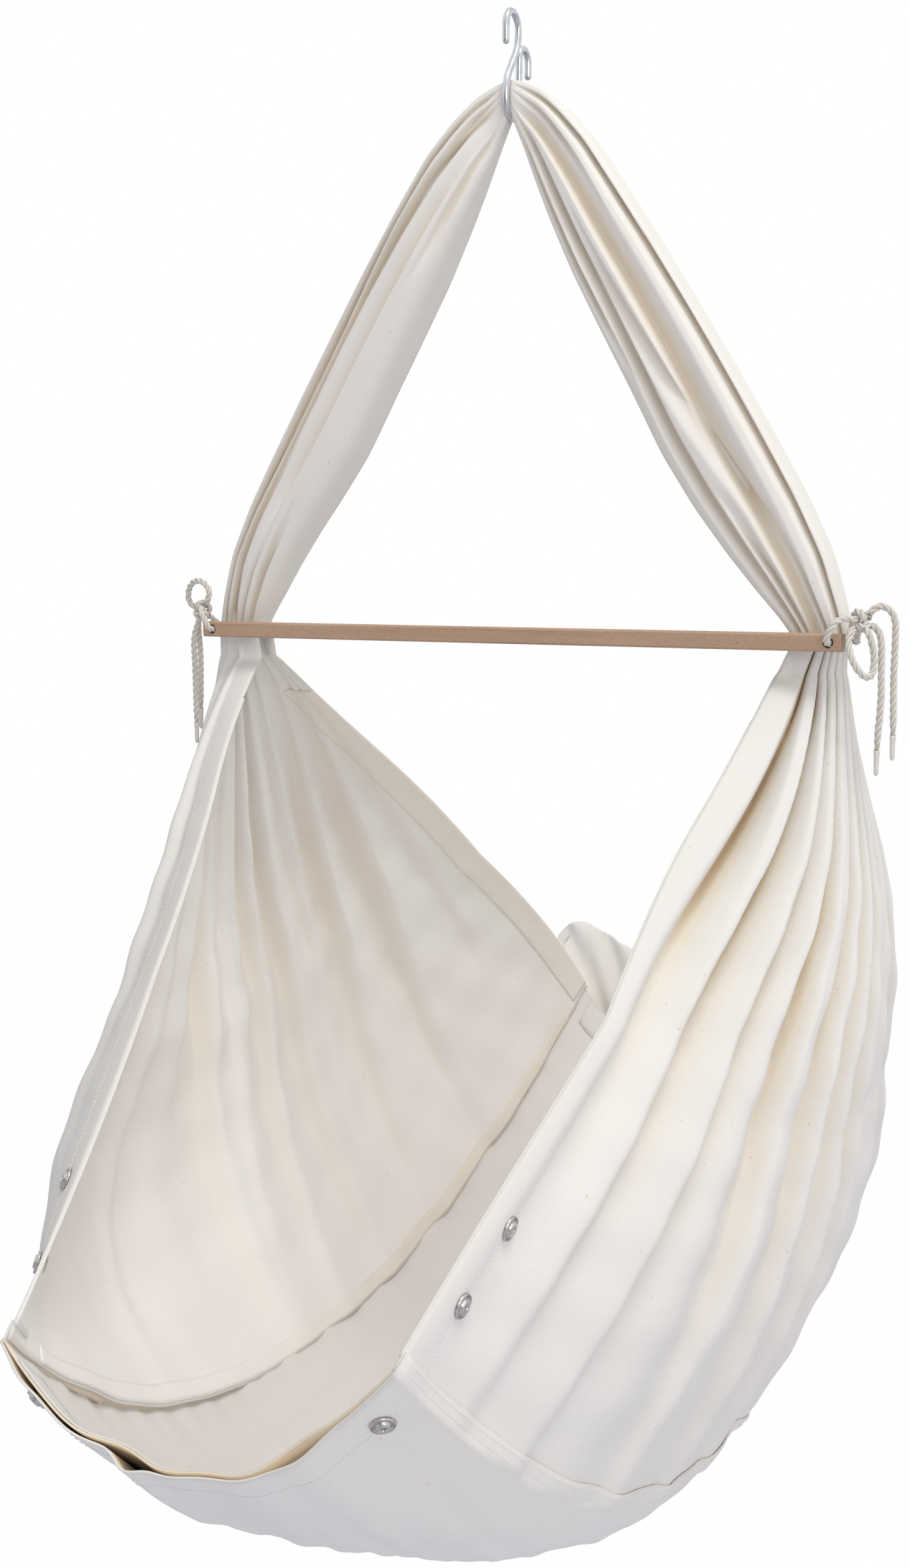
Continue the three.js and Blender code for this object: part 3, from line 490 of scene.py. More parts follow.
# %% Tie ropes and knots
BAR_Y, BAR_Z = -0.0294, -0.514
BAR_HALF = 0.007
HOLE_X, HOLE_RADIUS = 0.290, 0.00425
RING_X, RING_HALF_X, RING_HALF_Y = 0.276, 0.0278, 0.0188
KNOT_OPENING, KNOT_SPREAD, KNOT_DEPTH = 0.12, 0.0023, 0.0042


def tie_line(side):
    """Knot, front strand, hole, then an ellipse round the gather from -80 to -362 degrees, and the knot."""
    r, front, back = ROPE / 2, BAR_Y - BAR_HALF, BAR_Y + BAR_HALF
    lead = [[KNOT[0] - 2.9 * r, KNOT[1] - 4.6 * r, KNOT[2] + 0.6 * r],
            [HOLE_X + 2.2 * r, front - 2.1 * r, BAR_Z + 5.2 * r],
            [HOLE_X + 0.8 * r, front - 2.7 * r, BAR_Z + 3 * r],
            [HOLE_X, front - 1.9 * r, BAR_Z + 0.6 * r], [HOLE_X, front, BAR_Z], [HOLE_X, BAR_Y, BAR_Z]]
    turn = np.radians([8, 45, 78])
    edge = np.stack([HOLE_X + HOLE_RADIUS * (np.cos(turn) - 1), back + HOLE_RADIUS * np.sin(turn),
                     0 * turn + BAR_Z], axis=-1)
    angle = np.radians(np.linspace(-80, -362, 19))
    ring = np.stack([RING_X + RING_HALF_X * np.cos(angle), RING_HALF_Y * np.sin(angle), 0 * angle + BAR_Z],
                    axis=-1)
    leave = [[KNOT[0] - 1.6 * r, KNOT[1] + 4.2 * r, KNOT[2] - 3.3 * r]]
    points = np.vstack([lead, edge, ring, leave])
    ends = [KNOT + 0.5 * (points[0] - KNOT), KNOT + 0.5 * (points[-1] - KNOT)]
    return spline(np.vstack([ends[:1], points, ends[1:]]) * (side, 1, 1), STEP_ALONG)


def knot_line(side):
    """Three-lobed knot: radius (2 + cos 3a) at angle 2a, height sin 3a, scaled to the knot's size."""
    a = np.linspace(KNOT_OPENING, 2 * np.pi - KNOT_OPENING, 110)
    spread = KNOT_SPREAD * (2 + np.cos(3 * a))
    p = np.stack([spread * np.cos(2 * a), KNOT_DEPTH * np.sin(3 * a), 1.12 * spread * np.sin(2 * a)], axis=-1)
    return (p + KNOT) * (side, 1, 1)


for name, side in (("left", -1), ("right", 1)):
    dress(rope_piece(name + "_tie_turns", tie_line(side)), rope_cotton, stands_for=[name + "_tie_rope"])
    dress(rope_piece(name + "_bow_knot", knot_line(side)), rope_cotton, stands_for=[name + "_knot"])
print("tie ropes and knots laid")

# %% [markdown]
# ## S-hook
# The hook is one length of 6 mm wire, bent to an S with a small return curl, so it is a tube along
# that line with rounded ends. Zinc plating is bright with a bluish cast and fine drawn streaks.

# %% Hook
WIRE = 0.006


def arc(y, z, radius, start, stop, count):
    """Points on a circle about (y, z) in the plane across the bar, angles in degrees."""
    a = np.radians(np.linspace(start, stop, count))
    return np.stack([0 * a, y + radius * np.cos(a), z + radius * np.sin(a)], axis=-1)


shank_shares = np.array([[.02, .12], [.15, .28], [.5, .48], [.88, .7], [.985, .86]])
shank = np.stack([0 * shank_shares[:, 0], 0.012 - 0.024 * shank_shares[:, 0], -0.009 - 0.060 * shank_shares[:, 1]],
                 axis=-1)
hook_points = np.vstack([[[0, -0.012, -0.026]], arc(0, -0.009, 0.012, 180, 0, 9), shank,
                         arc(0.001, -0.069, 0.013, 180, 360, 9), arc(0.023, -0.030, 0.009, 180, 0, 7),
                         [[0, 0.032, -0.044]]])
hook_line = spline(hook_points, 0.0012)
travelled = along(hook_line)
from_end = np.minimum(travelled, travelled[-1] - travelled)
round_end = np.sqrt(1 - (1 - np.clip(from_end / (WIRE / 2), 0.002, 1))**2)
hook = make_piece("bent_wire_hook", [tube(hook_line, WIRE / 2 * round_end, 24)], wrap=True, caps=True)

zinc, tree, shader = new_material("bright_zinc", {"Metallic": 1.0})
streak = noise(tree, (add_node(tree, "UVMap", uv_map="UVMap"), "UV"), (1400, 45, 1), 4.0)
cloud = noise(tree, (add_node(tree, "TexCoord"), "Object"), 160.0, 3.0)
bright = mix_colour(tree, ramp(tree, streak, 0.35, 0.68), (0.70, 0.72, 0.75, 1), (0.47, 0.49, 0.53, 1))
dulled = mix_colour(tree, ramp(tree, cloud, 0.5, 0.75, 0.0, 0.45), bright, (0.36, 0.37, 0.39, 1))
feed(tree, dulled, shader, "Base Color")
feed(tree, ramp(tree, cloud, 0.3, 0.7, 0.16, 0.34), shader, "Roughness")
feed(tree, bump(tree, streak, 0.0001, 0.5), shader, "Normal")
dress(hook, zinc, "hook", ["s_hook"])
print("hook wire length", round(float(travelled[-1]), 3), "m")

# %% [markdown]
# ## Beech bar
# The CAD bar already has the right shape, so it stays and only gets a finish. Beech is pale pinkish
# brown with fine dark flecks a few millimetres long that run with the grain, along X, and darker end grain.

# %% Beech
beech, tree, shader = new_material("oiled_beech", {"Roughness": 0.55, "Specular IOR Level": 0.35})
coordinates = add_node(tree, "TexCoord")
place = (coordinates, "Object")
grain = noise(tree, place, (7, 120, 120), 5.0, Distortion=0.3)
fleck = noise(tree, place, (260, 1900, 1900), 1.0)
broad = noise(tree, place, 5.0, 2.0)
wood = mix_colour(tree, ramp(tree, grain, 0.3, 0.7), (0.565, 0.385, 0.272, 1), (0.465, 0.302, 0.206, 1))
wood = mix_colour(tree, ramp(tree, broad, 0.35, 0.65, 0.0, 0.5), wood, (0.515, 0.345, 0.255, 1))
wood = mix_colour(tree, ramp(tree, fleck, 0.62, 0.72, 0.0, 0.6), wood, (0.22, 0.13, 0.08, 1))
facing = add_node(tree, "SeparateXYZ", {"Vector": (coordinates, "Normal")})
end_on = (add_node(tree, "Math", {0: (facing, "X")}, operation="ABSOLUTE"), 0)
wood = mix_colour(tree, ramp(tree, end_on, 0.8, 0.95, 0.0, 0.45), wood, (0.30, 0.19, 0.12, 1))
feed(tree, wood, shader, "Base Color")
feed(tree, bump(tree, fleck, 0.0003, 0.5), shader, "Normal")
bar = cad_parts["spreader_bar"]
if not bar.material_slots:
    bar.data.materials.append(beech)
for slot in bar.material_slots:
    slot.material = beech
print("bar finished in", beech.name)

# %% [markdown]
# ## The body of the sling as formulas
# Two numbers place every point of a side wall: u runs from rim to rim, from -1 at the foot to 1 at the
# head, and t runs from 0 at the gather behind the bar to 1 at the seam with the base. The wall is a
# straight blend from gather to seam, pushed outwards by a sine bulge that dies out at the rims. The two
# walls hang a little differently, so the shares and reaches that differ stand in one small table.

# %% Body surfaces
GATHER_X, GATHER_Z = 0.276, -0.54015
GATHER_HALF_Y = 0.0125
LOW_POINT_Y = 0.044
FOOT_REACH, HEAD_REACH = 0.550, 0.482
SEAM_DROP, FOOT_CORNER_DROP, HEAD_CORNER_DROP = 1.201, 0.956, 0.970
MID_HALF_WIDTH, END_HALF_WIDTH, RIGHT_EXTRA = 0.202, 0.148, 0.004
WALL_HEIGHT, WALL_TOP = 0.665, -0.036
SIT_RIGHT, FOOT_LIFT, FOOT_TURN = 0.010, 0.005, 0.023
WALLS = {  # metres, but for the power of the foot rim's rounding
    -1: {"foot_power": 6.0, "early": 0.031, "foot_bow": 0.028, "foot_bow_early": 0.010, "foot_flare": 0.004},
    1: {"foot_power": 2.8, "early": 0.028, "foot_bow": 0.004, "foot_bow_early": 0.022, "foot_flare": 0.011}}


def seam_line(u, side):
    """Seam between wall and base: half width falls with |u|^2.5, and is 4 mm more on the right; height
    rises with |u|^2.5 to the foot corner and with u squared to the head corner."""
    k = np.abs(u)
    x = MID_HALF_WIDTH + (RIGHT_EXTRA if side > 0 else 0) + (END_HALF_WIDTH - MID_HALF_WIDTH) * k**2.5
    y = LOW_POINT_Y + np.where(u < 0, FOOT_REACH, HEAD_REACH) * u
    corner = np.where(u < 0, FOOT_CORNER_DROP, HEAD_CORNER_DROP)
    z = -(SEAM_DROP + (corner - SEAM_DROP) * k**np.where(u < 0, 2.5, 2.0))
    return np.stack(np.broadcast_arrays(side * x, y, z), axis=-1)


def settle(p):
    """The hung body sits 10 mm to the right and its foot end is turned: x and z shift with depth."""
    p = np.array(p, dtype=float)
    low = smooth(0.58, 0.95, -p[..., 2])
    foot = clamp((LOW_POINT_Y - p[..., 1]) / FOOT_REACH)**2
    lean = np.clip(p[..., 0] / END_HALF_WIDTH, -1.2, 1.2)
    p[..., 0] = p[..., 0] + SIT_RIGHT * low
    p[..., 2] = p[..., 2] + (FOOT_LIFT + FOOT_TURN * lean) * foot * low
    return p


def wall_middle(u, t, side):
    """Straight blend from the gather to the seam, plus a bulge of 70 to 102 mm times sin(pi t^p), less the
    inward bow of each rim. Near the gather the width curls into a C, open to the middle of the cradle,
    and right under the bar the rims flare by a few millimetres. Above t = 0 the cloth goes straight up."""
    u, t = on_grid(u, t)
    own, foot = WALLS[side], u < 0
    s = clamp(t)
    gather = np.stack([side * GATHER_X + 0 * u, GATHER_HALF_Y * np.sin(np.pi * u / 2),
                       GATHER_Z + 0 * u], axis=-1)
    p = gather * (1 - s[..., None]) + seam_line(u, side) * s[..., None]
    k = clamp(np.abs(u))
    plump = 1 - k**np.where(foot, own["foot_power"], 2.6)
    full = plump / (0.6 + 0.4 * np.sqrt(plump))
    inner = smooth(-0.6, 0.0, u)
    bulge, power = (0.102 - 0.020 * inner, 2.5 - 1.1 * inner) if side < 0 else (0.070, 1.42)
    rim = clamp((k - 0.6) / 0.4)**2
    early = np.sin(np.pi * clamp(s / 0.55)**0.8)
    p[..., 0] += side * (bulge * full * np.sin(np.pi * s**power) + own["early"] * full * early)
    p[..., 0] -= side * rim * (np.where(foot, own["foot_bow"], 0.014) * np.sin(np.pi * s**1.1)
                               + np.where(foot, own["foot_bow_early"], 0.010) * early)
    p[..., 1] += rim * (np.where(foot, -0.006, 0.030) * np.sin(np.pi * s**1.6) + np.where(foot, -0.004, 0.016) * early)
    curl = clamp(1 - s / 0.24)**2
    p[..., 0] += side * curl * (0.041 * np.sqrt(clamp(1 - u * u)) - 0.021)
    flare = clamp(1 - t / WALL_TOP) * clamp(1 - s / 0.25)**2 * k**2
    p[..., 0] -= side * np.where(foot, own["foot_flare"], 0.004) * flare
    p[..., 2] += clamp(-t) * WALL_HEIGHT
    return p


def wall_outward(u, t, side):
    """Unit normal of the wall's middle surface, from differences over 1% steps. Near the gather it
    blends into the direction round the bundle."""
    step = 0.01
    du = wall_middle(np.minimum(u + step, 1), t, side) - wall_middle(np.maximum(u - step, -1), t, side)
    dt = wall_middle(u, clamp(t + step), side) - wall_middle(u, clamp(t - step), side)
    normal = np.cross(dt, du)
    normal /= np.linalg.norm(normal, axis=-1, keepdims=True) + 1e-12
    normal *= np.where(normal[..., :1] * side < 0, -1, 1)
    blend = smooth(0, 0.12, clamp(t))[..., None]
    angle = np.pi * np.clip(np.broadcast_to(u, blend.shape[:-1]), -1, 1) / 2
    around = np.stack([side * np.cos(angle), np.sin(angle), 0 * angle], axis=-1)
    return unit(around * (1 - blend) + normal * blend)


# %% [markdown]
# ## Folds
# Gathered cloth falls in folds that start sharp behind the bar and die out down the wall. Each
# fold is a groove: the cloth slides in slowly on one side and comes back steeply on the
# other, so that one edge looks laid over the next. The lists give the place, width and depth of each.

# %% Folds
WALL_FOLDS = {
    # u at the top, u at the bottom, half width in u, depth in units of 1.25 mm, t where it ends, steep side
    1: [(-0.86, -0.935, 0.045, 25, 1.05, -1), (-0.72, -0.84, 0.050, 24, 1.1, -1),
        (-0.60, -0.735, 0.050, 22, 1.15, -1), (-0.44, -0.64, 0.055, 23, 1.1, 1),
        (-0.24, -0.48, 0.065, 19, 1.15, 1), (-0.06, -0.32, 0.075, 18, 1.1, 1), (0.08, -0.15, 0.070, 17, 1.15, 1),
        (0.23, 0.03, 0.080, 19, 1.1, -1), (0.39, 0.23, 0.080, 17, 1.15, 1), (0.54, 0.43, 0.080, 18, 1.1, -1),
        (0.69, 0.62, 0.075, 17, 1.0, 1), (0.84, 0.80, 0.07, 13, 0.85, -1)],
    -1: [(-0.84, -0.86, 0.07, 10, 0.9, -1), (-0.62, -0.66, 0.09, 12, 1.0, 1), (-0.42, -0.48, 0.08, 12, 1.0, -1),
         (-0.20, -0.28, 0.11, 24, 1.15, 1), (0.08, -0.20, 0.06, 11, 1.0, 1), (0.36, -0.10, 0.075, 19, 1.15, 1),
         (0.52, 0.08, 0.08, 22, 1.2, 1), (0.70, 0.20, 0.06, 12, 1.0, 1), (0.84, 0.30, 0.08, 22, 1.15, 1),
         (0.91, 0.54, 0.075, 20, 1.1, 1), (0.95, 0.78, 0.05, 9, 0.8, 1)],
}
DEPTH_UNIT = 0.00125
CREASE_AT = 0.5


def groove(x):
    """0 outside -1..1; a slow smooth descent to 1, then a steep return within 0.38..0.78."""
    return smooth(-1, 0.35, x) * (1 - smooth(0.38, 0.78, x))


def crease_line(x, width):
    """A narrow line, exp of minus the squared distance, on the steep side of a groove: the painted shade line of a
    crease.
    """
    return np.exp(-((x - CREASE_AT) / width)**2)


def wall_folds(u, t, side):
    """Inward depth in metres and painted fold shade from 0 to 1: the sum of all grooves, faded towards their ends."""
    u, t = on_grid(u, t)
    s = clamp(t)
    total, shade = np.zeros(u.shape), np.zeros(u.shape)
    room = 0.34 + 0.66 * smooth(0.0, 0.17, s) if side > 0 else 0.22 + 0.78 * smooth(0.0, 0.4, s)
    drift = smooth(0, 0.5, s) if side > 0 else s
    for top, bottom, width, depth, end, steep in WALL_FOLDS[side]:
        x = (u - top - (bottom - top) * drift) / (width * (1 + 0.6 * s)) * steep
        fade = clamp(1 - (s / end)**2.2)
        shape = groove(x) * fade
        total += DEPTH_UNIT * depth * shape * room
        # Painted shade: the groove's slow side and its crease line are tinted tan.
        dark = np.maximum(shape**1.8 * (1.15 - 0.62 * s), crease_line(x, 0.2) * fade * (0.95 - 0.35 * s))
        shade = np.maximum(shade, dark * min(1.15, depth / 18))
    calm = 0.35 + 0.65 * smooth(1.0, 0.92, np.abs(u) * smooth(-0.2, 0.15, s))
    return total * calm, shade * calm * (1 if side > 0 else 0.15 + 0.6 * smooth(0, 0.5, s))


def ripple(a, b, seed):
    """Slight unevenness between -1 and 1: three crossed sine waves."""
    return (np.sin(5.1 * a + 3.3 * b + seed) + np.sin(11.7 * a - 4.9 * b + 2.1 * seed)
            + np.sin(3.1 * a + 13.3 * b + 0.7 * seed)) / 3


def wall_sheet(u, t, side, offset=0.0):
    """Points of a layer that lies offset outside the wall's cloth, and the painted shade of their folds. Folds push
    the right wall inwards and the left wall outwards, since the portrait shows one from each face."""
    u, t = on_grid(u, t)
    depth, shade = wall_folds(u, t, side)
    uneven = 0.0022 * ripple(4 * u, 5 * t, side) * smooth(0.1, 0.4, t) * smooth(1.0, 0.9, np.abs(u))
    shift = offset - side * (depth - 0.004 * smooth(0.05, 0.3, t) * smooth(1, 0.75, np.abs(u))) + uneven
    p = wall_middle(u, t, side) + wall_outward(u, t, side) * shift[..., None]
    return settle(p), shade


print("wall half width at the seam", MID_HALF_WIDTH, "m; folds per wall", len(WALL_FOLDS[1]), len(WALL_FOLDS[-1]))

# %% [markdown]
# ## Side walls
# Each wall is one sheet of cotton. A grid of its middle surface gets its thickness from a live Solidify
# modifier, which also puts the inner finish on the inner face: the same cloth, painted brighter and warmer as painted
# light.

# %% Walls
CLOTH = 0.0016
FLAT_WIDTH, FLAT_HEIGHT = 1.10, 0.67
HIDDEN_FACE_SHADE = 0.3


def thicken(piece, outer, inner, thickness=CLOTH):
    """Two faces of cloth: Solidify adds the inner one, with its own finish and a rim in the outer finish."""
    for material in (outer, inner):
        piece.data.materials.append(material)
    solid = piece.modifiers.new("cloth_thickness", "SOLIDIFY")
    solid.thickness = thickness
    solid.offset = 0.0
    solid.use_even_offset = False
    solid.material_offset = 1
    solid.material_offset_rim = 0


def wall_uv(u, t):
    """The cloth's own flat coordinates: 1.1 m from rim to rim and 0.67 m from bar to seam."""
    return np.stack(np.broadcast_arrays((u + 1) / 2 * FLAT_WIDTH, t * FLAT_HEIGHT), axis=-1)


def spread_u(count):
    """Columns from -1 to 1, a little closer together near the rims."""
    a = np.linspace(-1, 1, count)
    return a + 0.06 * np.sin(np.pi * a)


wall_t = np.concatenate([np.linspace(WALL_TOP, 0, 8)[:-1], np.linspace(0, 0.3, 50)[:-1],
                         np.linspace(0.3, 1, 70)])[:, None]
wall_u = spread_u(300)[None, :]
walls = {}
for name, side in (("left", -1), ("right", 1)):
    points, shade = wall_sheet(wall_u, wall_t, side)
    # The painted fold shade goes in full on the face that shows the grooves and at 0.3 of it on the other.
    outer_shade, inner_shade = (shade, HIDDEN_FACE_SHADE * shade) if side > 0 else (HIDDEN_FACE_SHADE * shade, shade)
    walls[name] = make_piece(name + "_wall_cloth", [points], fold=[outer_shade], inside=inner_shade,
                             uvs=[wall_uv(wall_u, wall_t)], flip=side > 0)
    thicken(walls[name], cotton_outside, cotton_inside_painted_light)
    hang(walls[name], name + "_wall")
    print(name, "wall", points.shape)

# %% [markdown]
# ## Rim hems and the seam's fell
# Each rim of a wall is folded to the inside and stitched down, 30 mm wide. A strip of cloth follows
# the wall's inner face, and its outer end turns round the rim, so the edge looks folded. The
# lower edge is folded up inside and sewn flat too, a narrow band along the seam that looks tan where
# it turns away from the light.

# %% Hems and fells
HEM_WIDTH = 0.030
HEM_CLOTH = 0.0012
HEM_SHARES = np.array([1, .93, .8, .68, .56, .44, .33, .22, .12, .05, 0, -.012, -.012])[None, :]
HEM_LIFTS = np.array([-0.9, -1.5, -1.9, -2.0, -2.0, -2.0, -2.0, -2.0, -2.0, -1.9, -1.7, -1.0, -0.3])[None, :] / 1000
RIM_TURN = 0.04
LAP = 0.013 / WALL_HEIGHT
SEAM_EDGE = 0.9985
INSIDE_FACE = -0.0016


def inset_u(side, end, t, distance):
    """The u that lies a given distance along the cloth from a rim, from measured steps at each t."""
    u = end * (1 - np.linspace(0, 1, 160)[None, :]**1.5)
    steps = np.linalg.norm(np.diff(wall_middle(u, t, side), axis=1), axis=-1)
    reach = np.concatenate([np.zeros((len(t), 1)), np.cumsum(steps, axis=1)], axis=1)
    return np.array([np.interp(distance, row, u[0]) for row in reach])[:, None]


def hem_strip(side, end):
    """Cross-section from the free inner edge, along the inner face, to the rim, where it turns the edge."""
    t = np.linspace(0.085, 0.985, 110)[:, None]
    free = inset_u(side, end, t, HEM_WIDTH)
    u = end + (free - end) * clamp(HEM_SHARES)
    points, shade = wall_sheet(u, t, side, HEM_LIFTS + 0 * t)
    rim, _ = wall_sheet(end + 0 * t, t, side)
    inside, _ = wall_sheet(end + 0.4 * (free - end), t, side)
    return points + unit(rim - inside) * (clamp(-HEM_SHARES) * RIM_TURN)[..., None], shade


def fell_strip(side):
    """The wall's last 13 mm above the seam, as a band on its inner face; its painted tan shade grows towards the head.
    """
    t = np.linspace(1 - LAP, SEAM_EDGE, 5)[:, None]
    u = np.linspace(-0.93, 0.925, 240)[None, :]
    points, shade = wall_sheet(u, t, side, INSIDE_FACE + 0 * t * u)
    # Painted shade: the band gets more tan towards the head.
    return points, np.maximum(0.4 * shade, 0.12 + 0.55 * smooth(-0.35, 0.25, u))


for name, side in (("left", -1), ("right", 1)):
    for end, place in ((-1, "near"), (1, "far")):
        points, shade = hem_strip(side, end)
        hem = make_piece(f"{name}_{place}_rim_hem", [points], fold=[0.5 * shade], flip=side * end > 0)
        finish = cotton_hem_painted_light_and_shade if place == "far" else cotton_outside if side > 0 else cotton_inside_painted_light
        thicken(hem, finish, finish, HEM_CLOTH)
        hang(hem, f"{name}_wall_{place}_hem")
    points, shade = fell_strip(side)
    fell = make_piece(name + "_felled_seam", [points], inside=shade, flip=side > 0)
    thicken(fell, cotton_inside_painted_light, cotton_inside_painted_light, HEM_CLOTH)
    hang(fell, name + "_seam_fell")

# %% [markdown]
# ## The two base layers
# The lying surface hangs between the two seams in a shallow trough. Under it a second layer
# makes a pocket for a mattress: it laps up outside the walls, is open at the foot end, where its edge
# gapes in three places, and at the head end it stands up behind the panel as a soft ruffled lip.

# %% Base layers
BASE_MID_SAG, FOOT_SAG, HEAD_SAG = 0.053, 0.084, 0.068
POCKET, LEAST_DROP, LEAST_GAP = 0.014, 0.0026, 0.0012
MOUTH_GAPES = [(-0.90, 0.06, 0.004), (-0.34, 0.09, 0.009), (0.56, 0.13, 0.009)]  # w, half width in w, metres


def base_middle(u, w):
    """Point at share w of the half width: the seam's height less a sag times 1 - |w|^p."""
    u, w = on_grid(u, w)
    k = clamp(np.abs(u))
    sag = BASE_MID_SAG + (np.where(u < 0, FOOT_SAG, HEAD_SAG) - BASE_MID_SAG) * k**2
    sag = sag * np.where(u < 0, 1 - 0.15 * w * k**2, 1)
    power = 2.9 + np.where(u < 0, -0.4, 0.5) * k**2
    p = seam_line(u, 1)
    p[..., 0] *= w
    p[..., 2] -= sag * (1 - np.abs(w)**power)
    return p


def base_down(u, w):
    """Unit normal of the base that points down, from differences over 1% steps."""
    h = 0.01
    du = base_middle(np.minimum(u + h, 1), w) - base_middle(np.maximum(u - h, -1), w)
    dw = base_middle(u, np.minimum(w + h, 1)) - base_middle(u, np.maximum(w - h, -1))
    n = unit(np.cross(du, dw))
    return n * np.where(n[..., 2:] > 0, -1, 1)


def mouth_gap(w):
    """Height of the pocket's mouth along the foot edge: almost shut, with three gaping places."""
    gap = LEAST_GAP + 0 * w
    for middle, width, height in MOUTH_GAPES:
        gap = gap + height * np.exp(-((w - middle) / width)**2)
    return gap


def foot_rumple(u, w):
    """Cross folds near the foot end that both base layers share."""
    wave = 0.0045 * np.sin(5.2 * w + 0.6) - 0.004 + 0.002 * np.sin(13 * w + 9 * u)
    return smooth(-0.75, -1.0, u) * (1 - np.abs(w)**4) * wave


def panel_points(u, w, offset=0.0):
    """Upper layer with soft cross folds near the foot end and small puckers along its seams."""
    u, w = on_grid(u, w)
    rumple = 0.0018 * ripple(3 * u, 3 * w, 4.0) + 0.0012 * np.sin(95 * u) * np.abs(w)**8
    rumple = rumple * (1 - smooth(-0.9, -1, u)) + foot_rumple(u, w)
    return settle(base_middle(u, w) + base_down(u, w) * (offset + rumple)[..., None])


def cover_points(u, w, offset=0.0):
    """Outer layer: the upper layer dropped by the pocket's height, which shuts to the mouth gap at the foot."""
    u, w = on_grid(u, w)
    free = 1 - np.abs(w)**6
    full = POCKET + 0.010 * np.abs(w)**2 + 0.009 * u
    drop = LEAST_DROP + (full - LEAST_DROP) * free
    foot = smooth(-0.70, -0.96, u)
    drop = drop * (1 - foot) + (mouth_gap(w) * free + 0.0022) * foot
    rumple = (0.0030 * ripple(3.3 * u + 1, 2.6 * w, 2.0) + 0.0012 * ripple(9 * u + 4 * w, 3 * w, 5.0)) * free
    down = drop + rumple * (1 - foot) + foot_rumple(u, w) + offset
    return settle(base_middle(u, w) + base_down(u, w) * down[..., None])


base_u = np.linspace(-1, 1, 170)[:, None]
base_w = np.sin(np.linspace(-1, 1, 111) * np.pi / 2 * 0.97)[None, :] / np.sin(np.pi / 2 * 0.97)
panel_w = base_w * 0.997
# Its fold_depth of 0.12 is a painted fold shade; its two finishes read fold_inside, which the panel does not carry.
panel = make_piece("lying_panel", [panel_points(base_u, panel_w)], fold=[0 * base_u * panel_w + 0.12], flip=True)
thicken(panel, cotton_pocket_painted_shade, cotton_lying_painted_shade)

LAP_OUT, LAP_COLUMNS = 0.0022, 5
LIP_HEIGHT, LIP_REACH, LIP_LEAN, LIP_ROWS = 0.124, 0.014, 0.020, 20
LIP_SPREAD, LIP_SHIFT, LAP_PUFF = 0.085, 0.014, 0.12


def cover_grid():
    """Left lap, base, right lap as one grid of columns, and the lip's rows added beyond the head end: it
    goes up by sin 2s, leans back away from the panel and spreads sideways, ruffled and highest at its left."""
    laps = []
    for side in (-1, 1):
        t = np.linspace(1 - LAP, SEAM_EDGE, LAP_COLUMNS)[None, :]
        laps.append(wall_sheet(base_u + 0 * t, t + 0 * base_u, side, LAP_OUT)[0])
    grid = np.concatenate([laps[0], cover_points(base_u, base_w * 0.994), laps[1][:, ::-1]], axis=1)
    share = np.linspace(0, 1, LIP_ROWS + 1)[1:, None]
    w = np.concatenate([[-1.0] * LAP_COLUMNS, base_w[0], [1.0] * LAP_COLUMNS])[None, :]
    column = np.arange(w.shape[1])
    is_lap = (column < LAP_COLUMNS) | (column >= w.shape[1] - LAP_COLUMNS)
    full = np.where(is_lap, LAP_PUFF, LAP_PUFF + (1 - LAP_PUFF) * np.sqrt(clamp(1 - np.abs(w)**9)))
    full = full * (0.62 + 0.42 * np.exp(-((w + 0.72) / 0.28)**2) + 0.2 * np.exp(-((w - 0.75) / 0.25)**2))
    puff = (1 + 0.05 * np.sin(9 * w + 0.5) + 0.035 * np.sin(23 * w + 1)) * full
    ruffle = 0.0045 * np.sin(31 * w + 5 * share) * np.sin(np.pi * share) + 0.003 * np.sin(57 * w) * share
    lip = np.repeat(grid[-1:], LIP_ROWS, axis=0)
    lip[..., 0] += LIP_SPREAD * np.sin(2.3 * share) * w**3 * full - LIP_SHIFT * share * full
    lip[..., 1] += (LIP_REACH * np.sin(2.2 * share) + LIP_LEAN * share + ruffle) * puff
    lip[..., 2] += LIP_HEIGHT * np.sin(2.0 * share) * puff
    return np.concatenate([grid, lip], axis=0)


points = cover_grid()
pocket_shade = np.concatenate([np.full(len(base_u), 0.8), np.zeros(LIP_ROWS)])[:, None]
cover = make_piece("pocket_cover", [points], flip=True, inside=pocket_shade + np.zeros(points.shape[:2]))
thicken(cover, cotton_outside, cotton_inside_painted_light)
for end, place in ((-1, "near"), (1, "far")):
    u = np.linspace(end * 0.999, end * 0.945, 6)[:, None]
    w = np.linspace(-0.93, 0.93, 90)[None, :]
    hem = make_piece(f"lying_panel_{place}_end_hem", [panel_points(u, w, INSIDE_FACE)])
    thicken(hem, cotton_lying_painted_shade, cotton_lying_painted_shade, HEM_CLOTH)
    hang(hem, f"base_panel_{place}_hem")
hang(panel, "base_panel")
hang(cover, "base_cover")
print("base layers and their hems made")

# %% [markdown]
# ## The band over the hook and its two legs
# One long band of cotton hangs over the hook. Bunched there to the width of a hand, it falls into two
# legs that spread to about 100 mm and draw together again behind the bar. Each leg is one sheet laid in
# eight layers: one wraps the bundle, six lie folded to and fro inside, and long grooves press into the
# front. The tables give both edges and the thickness at 15 places along the leg.

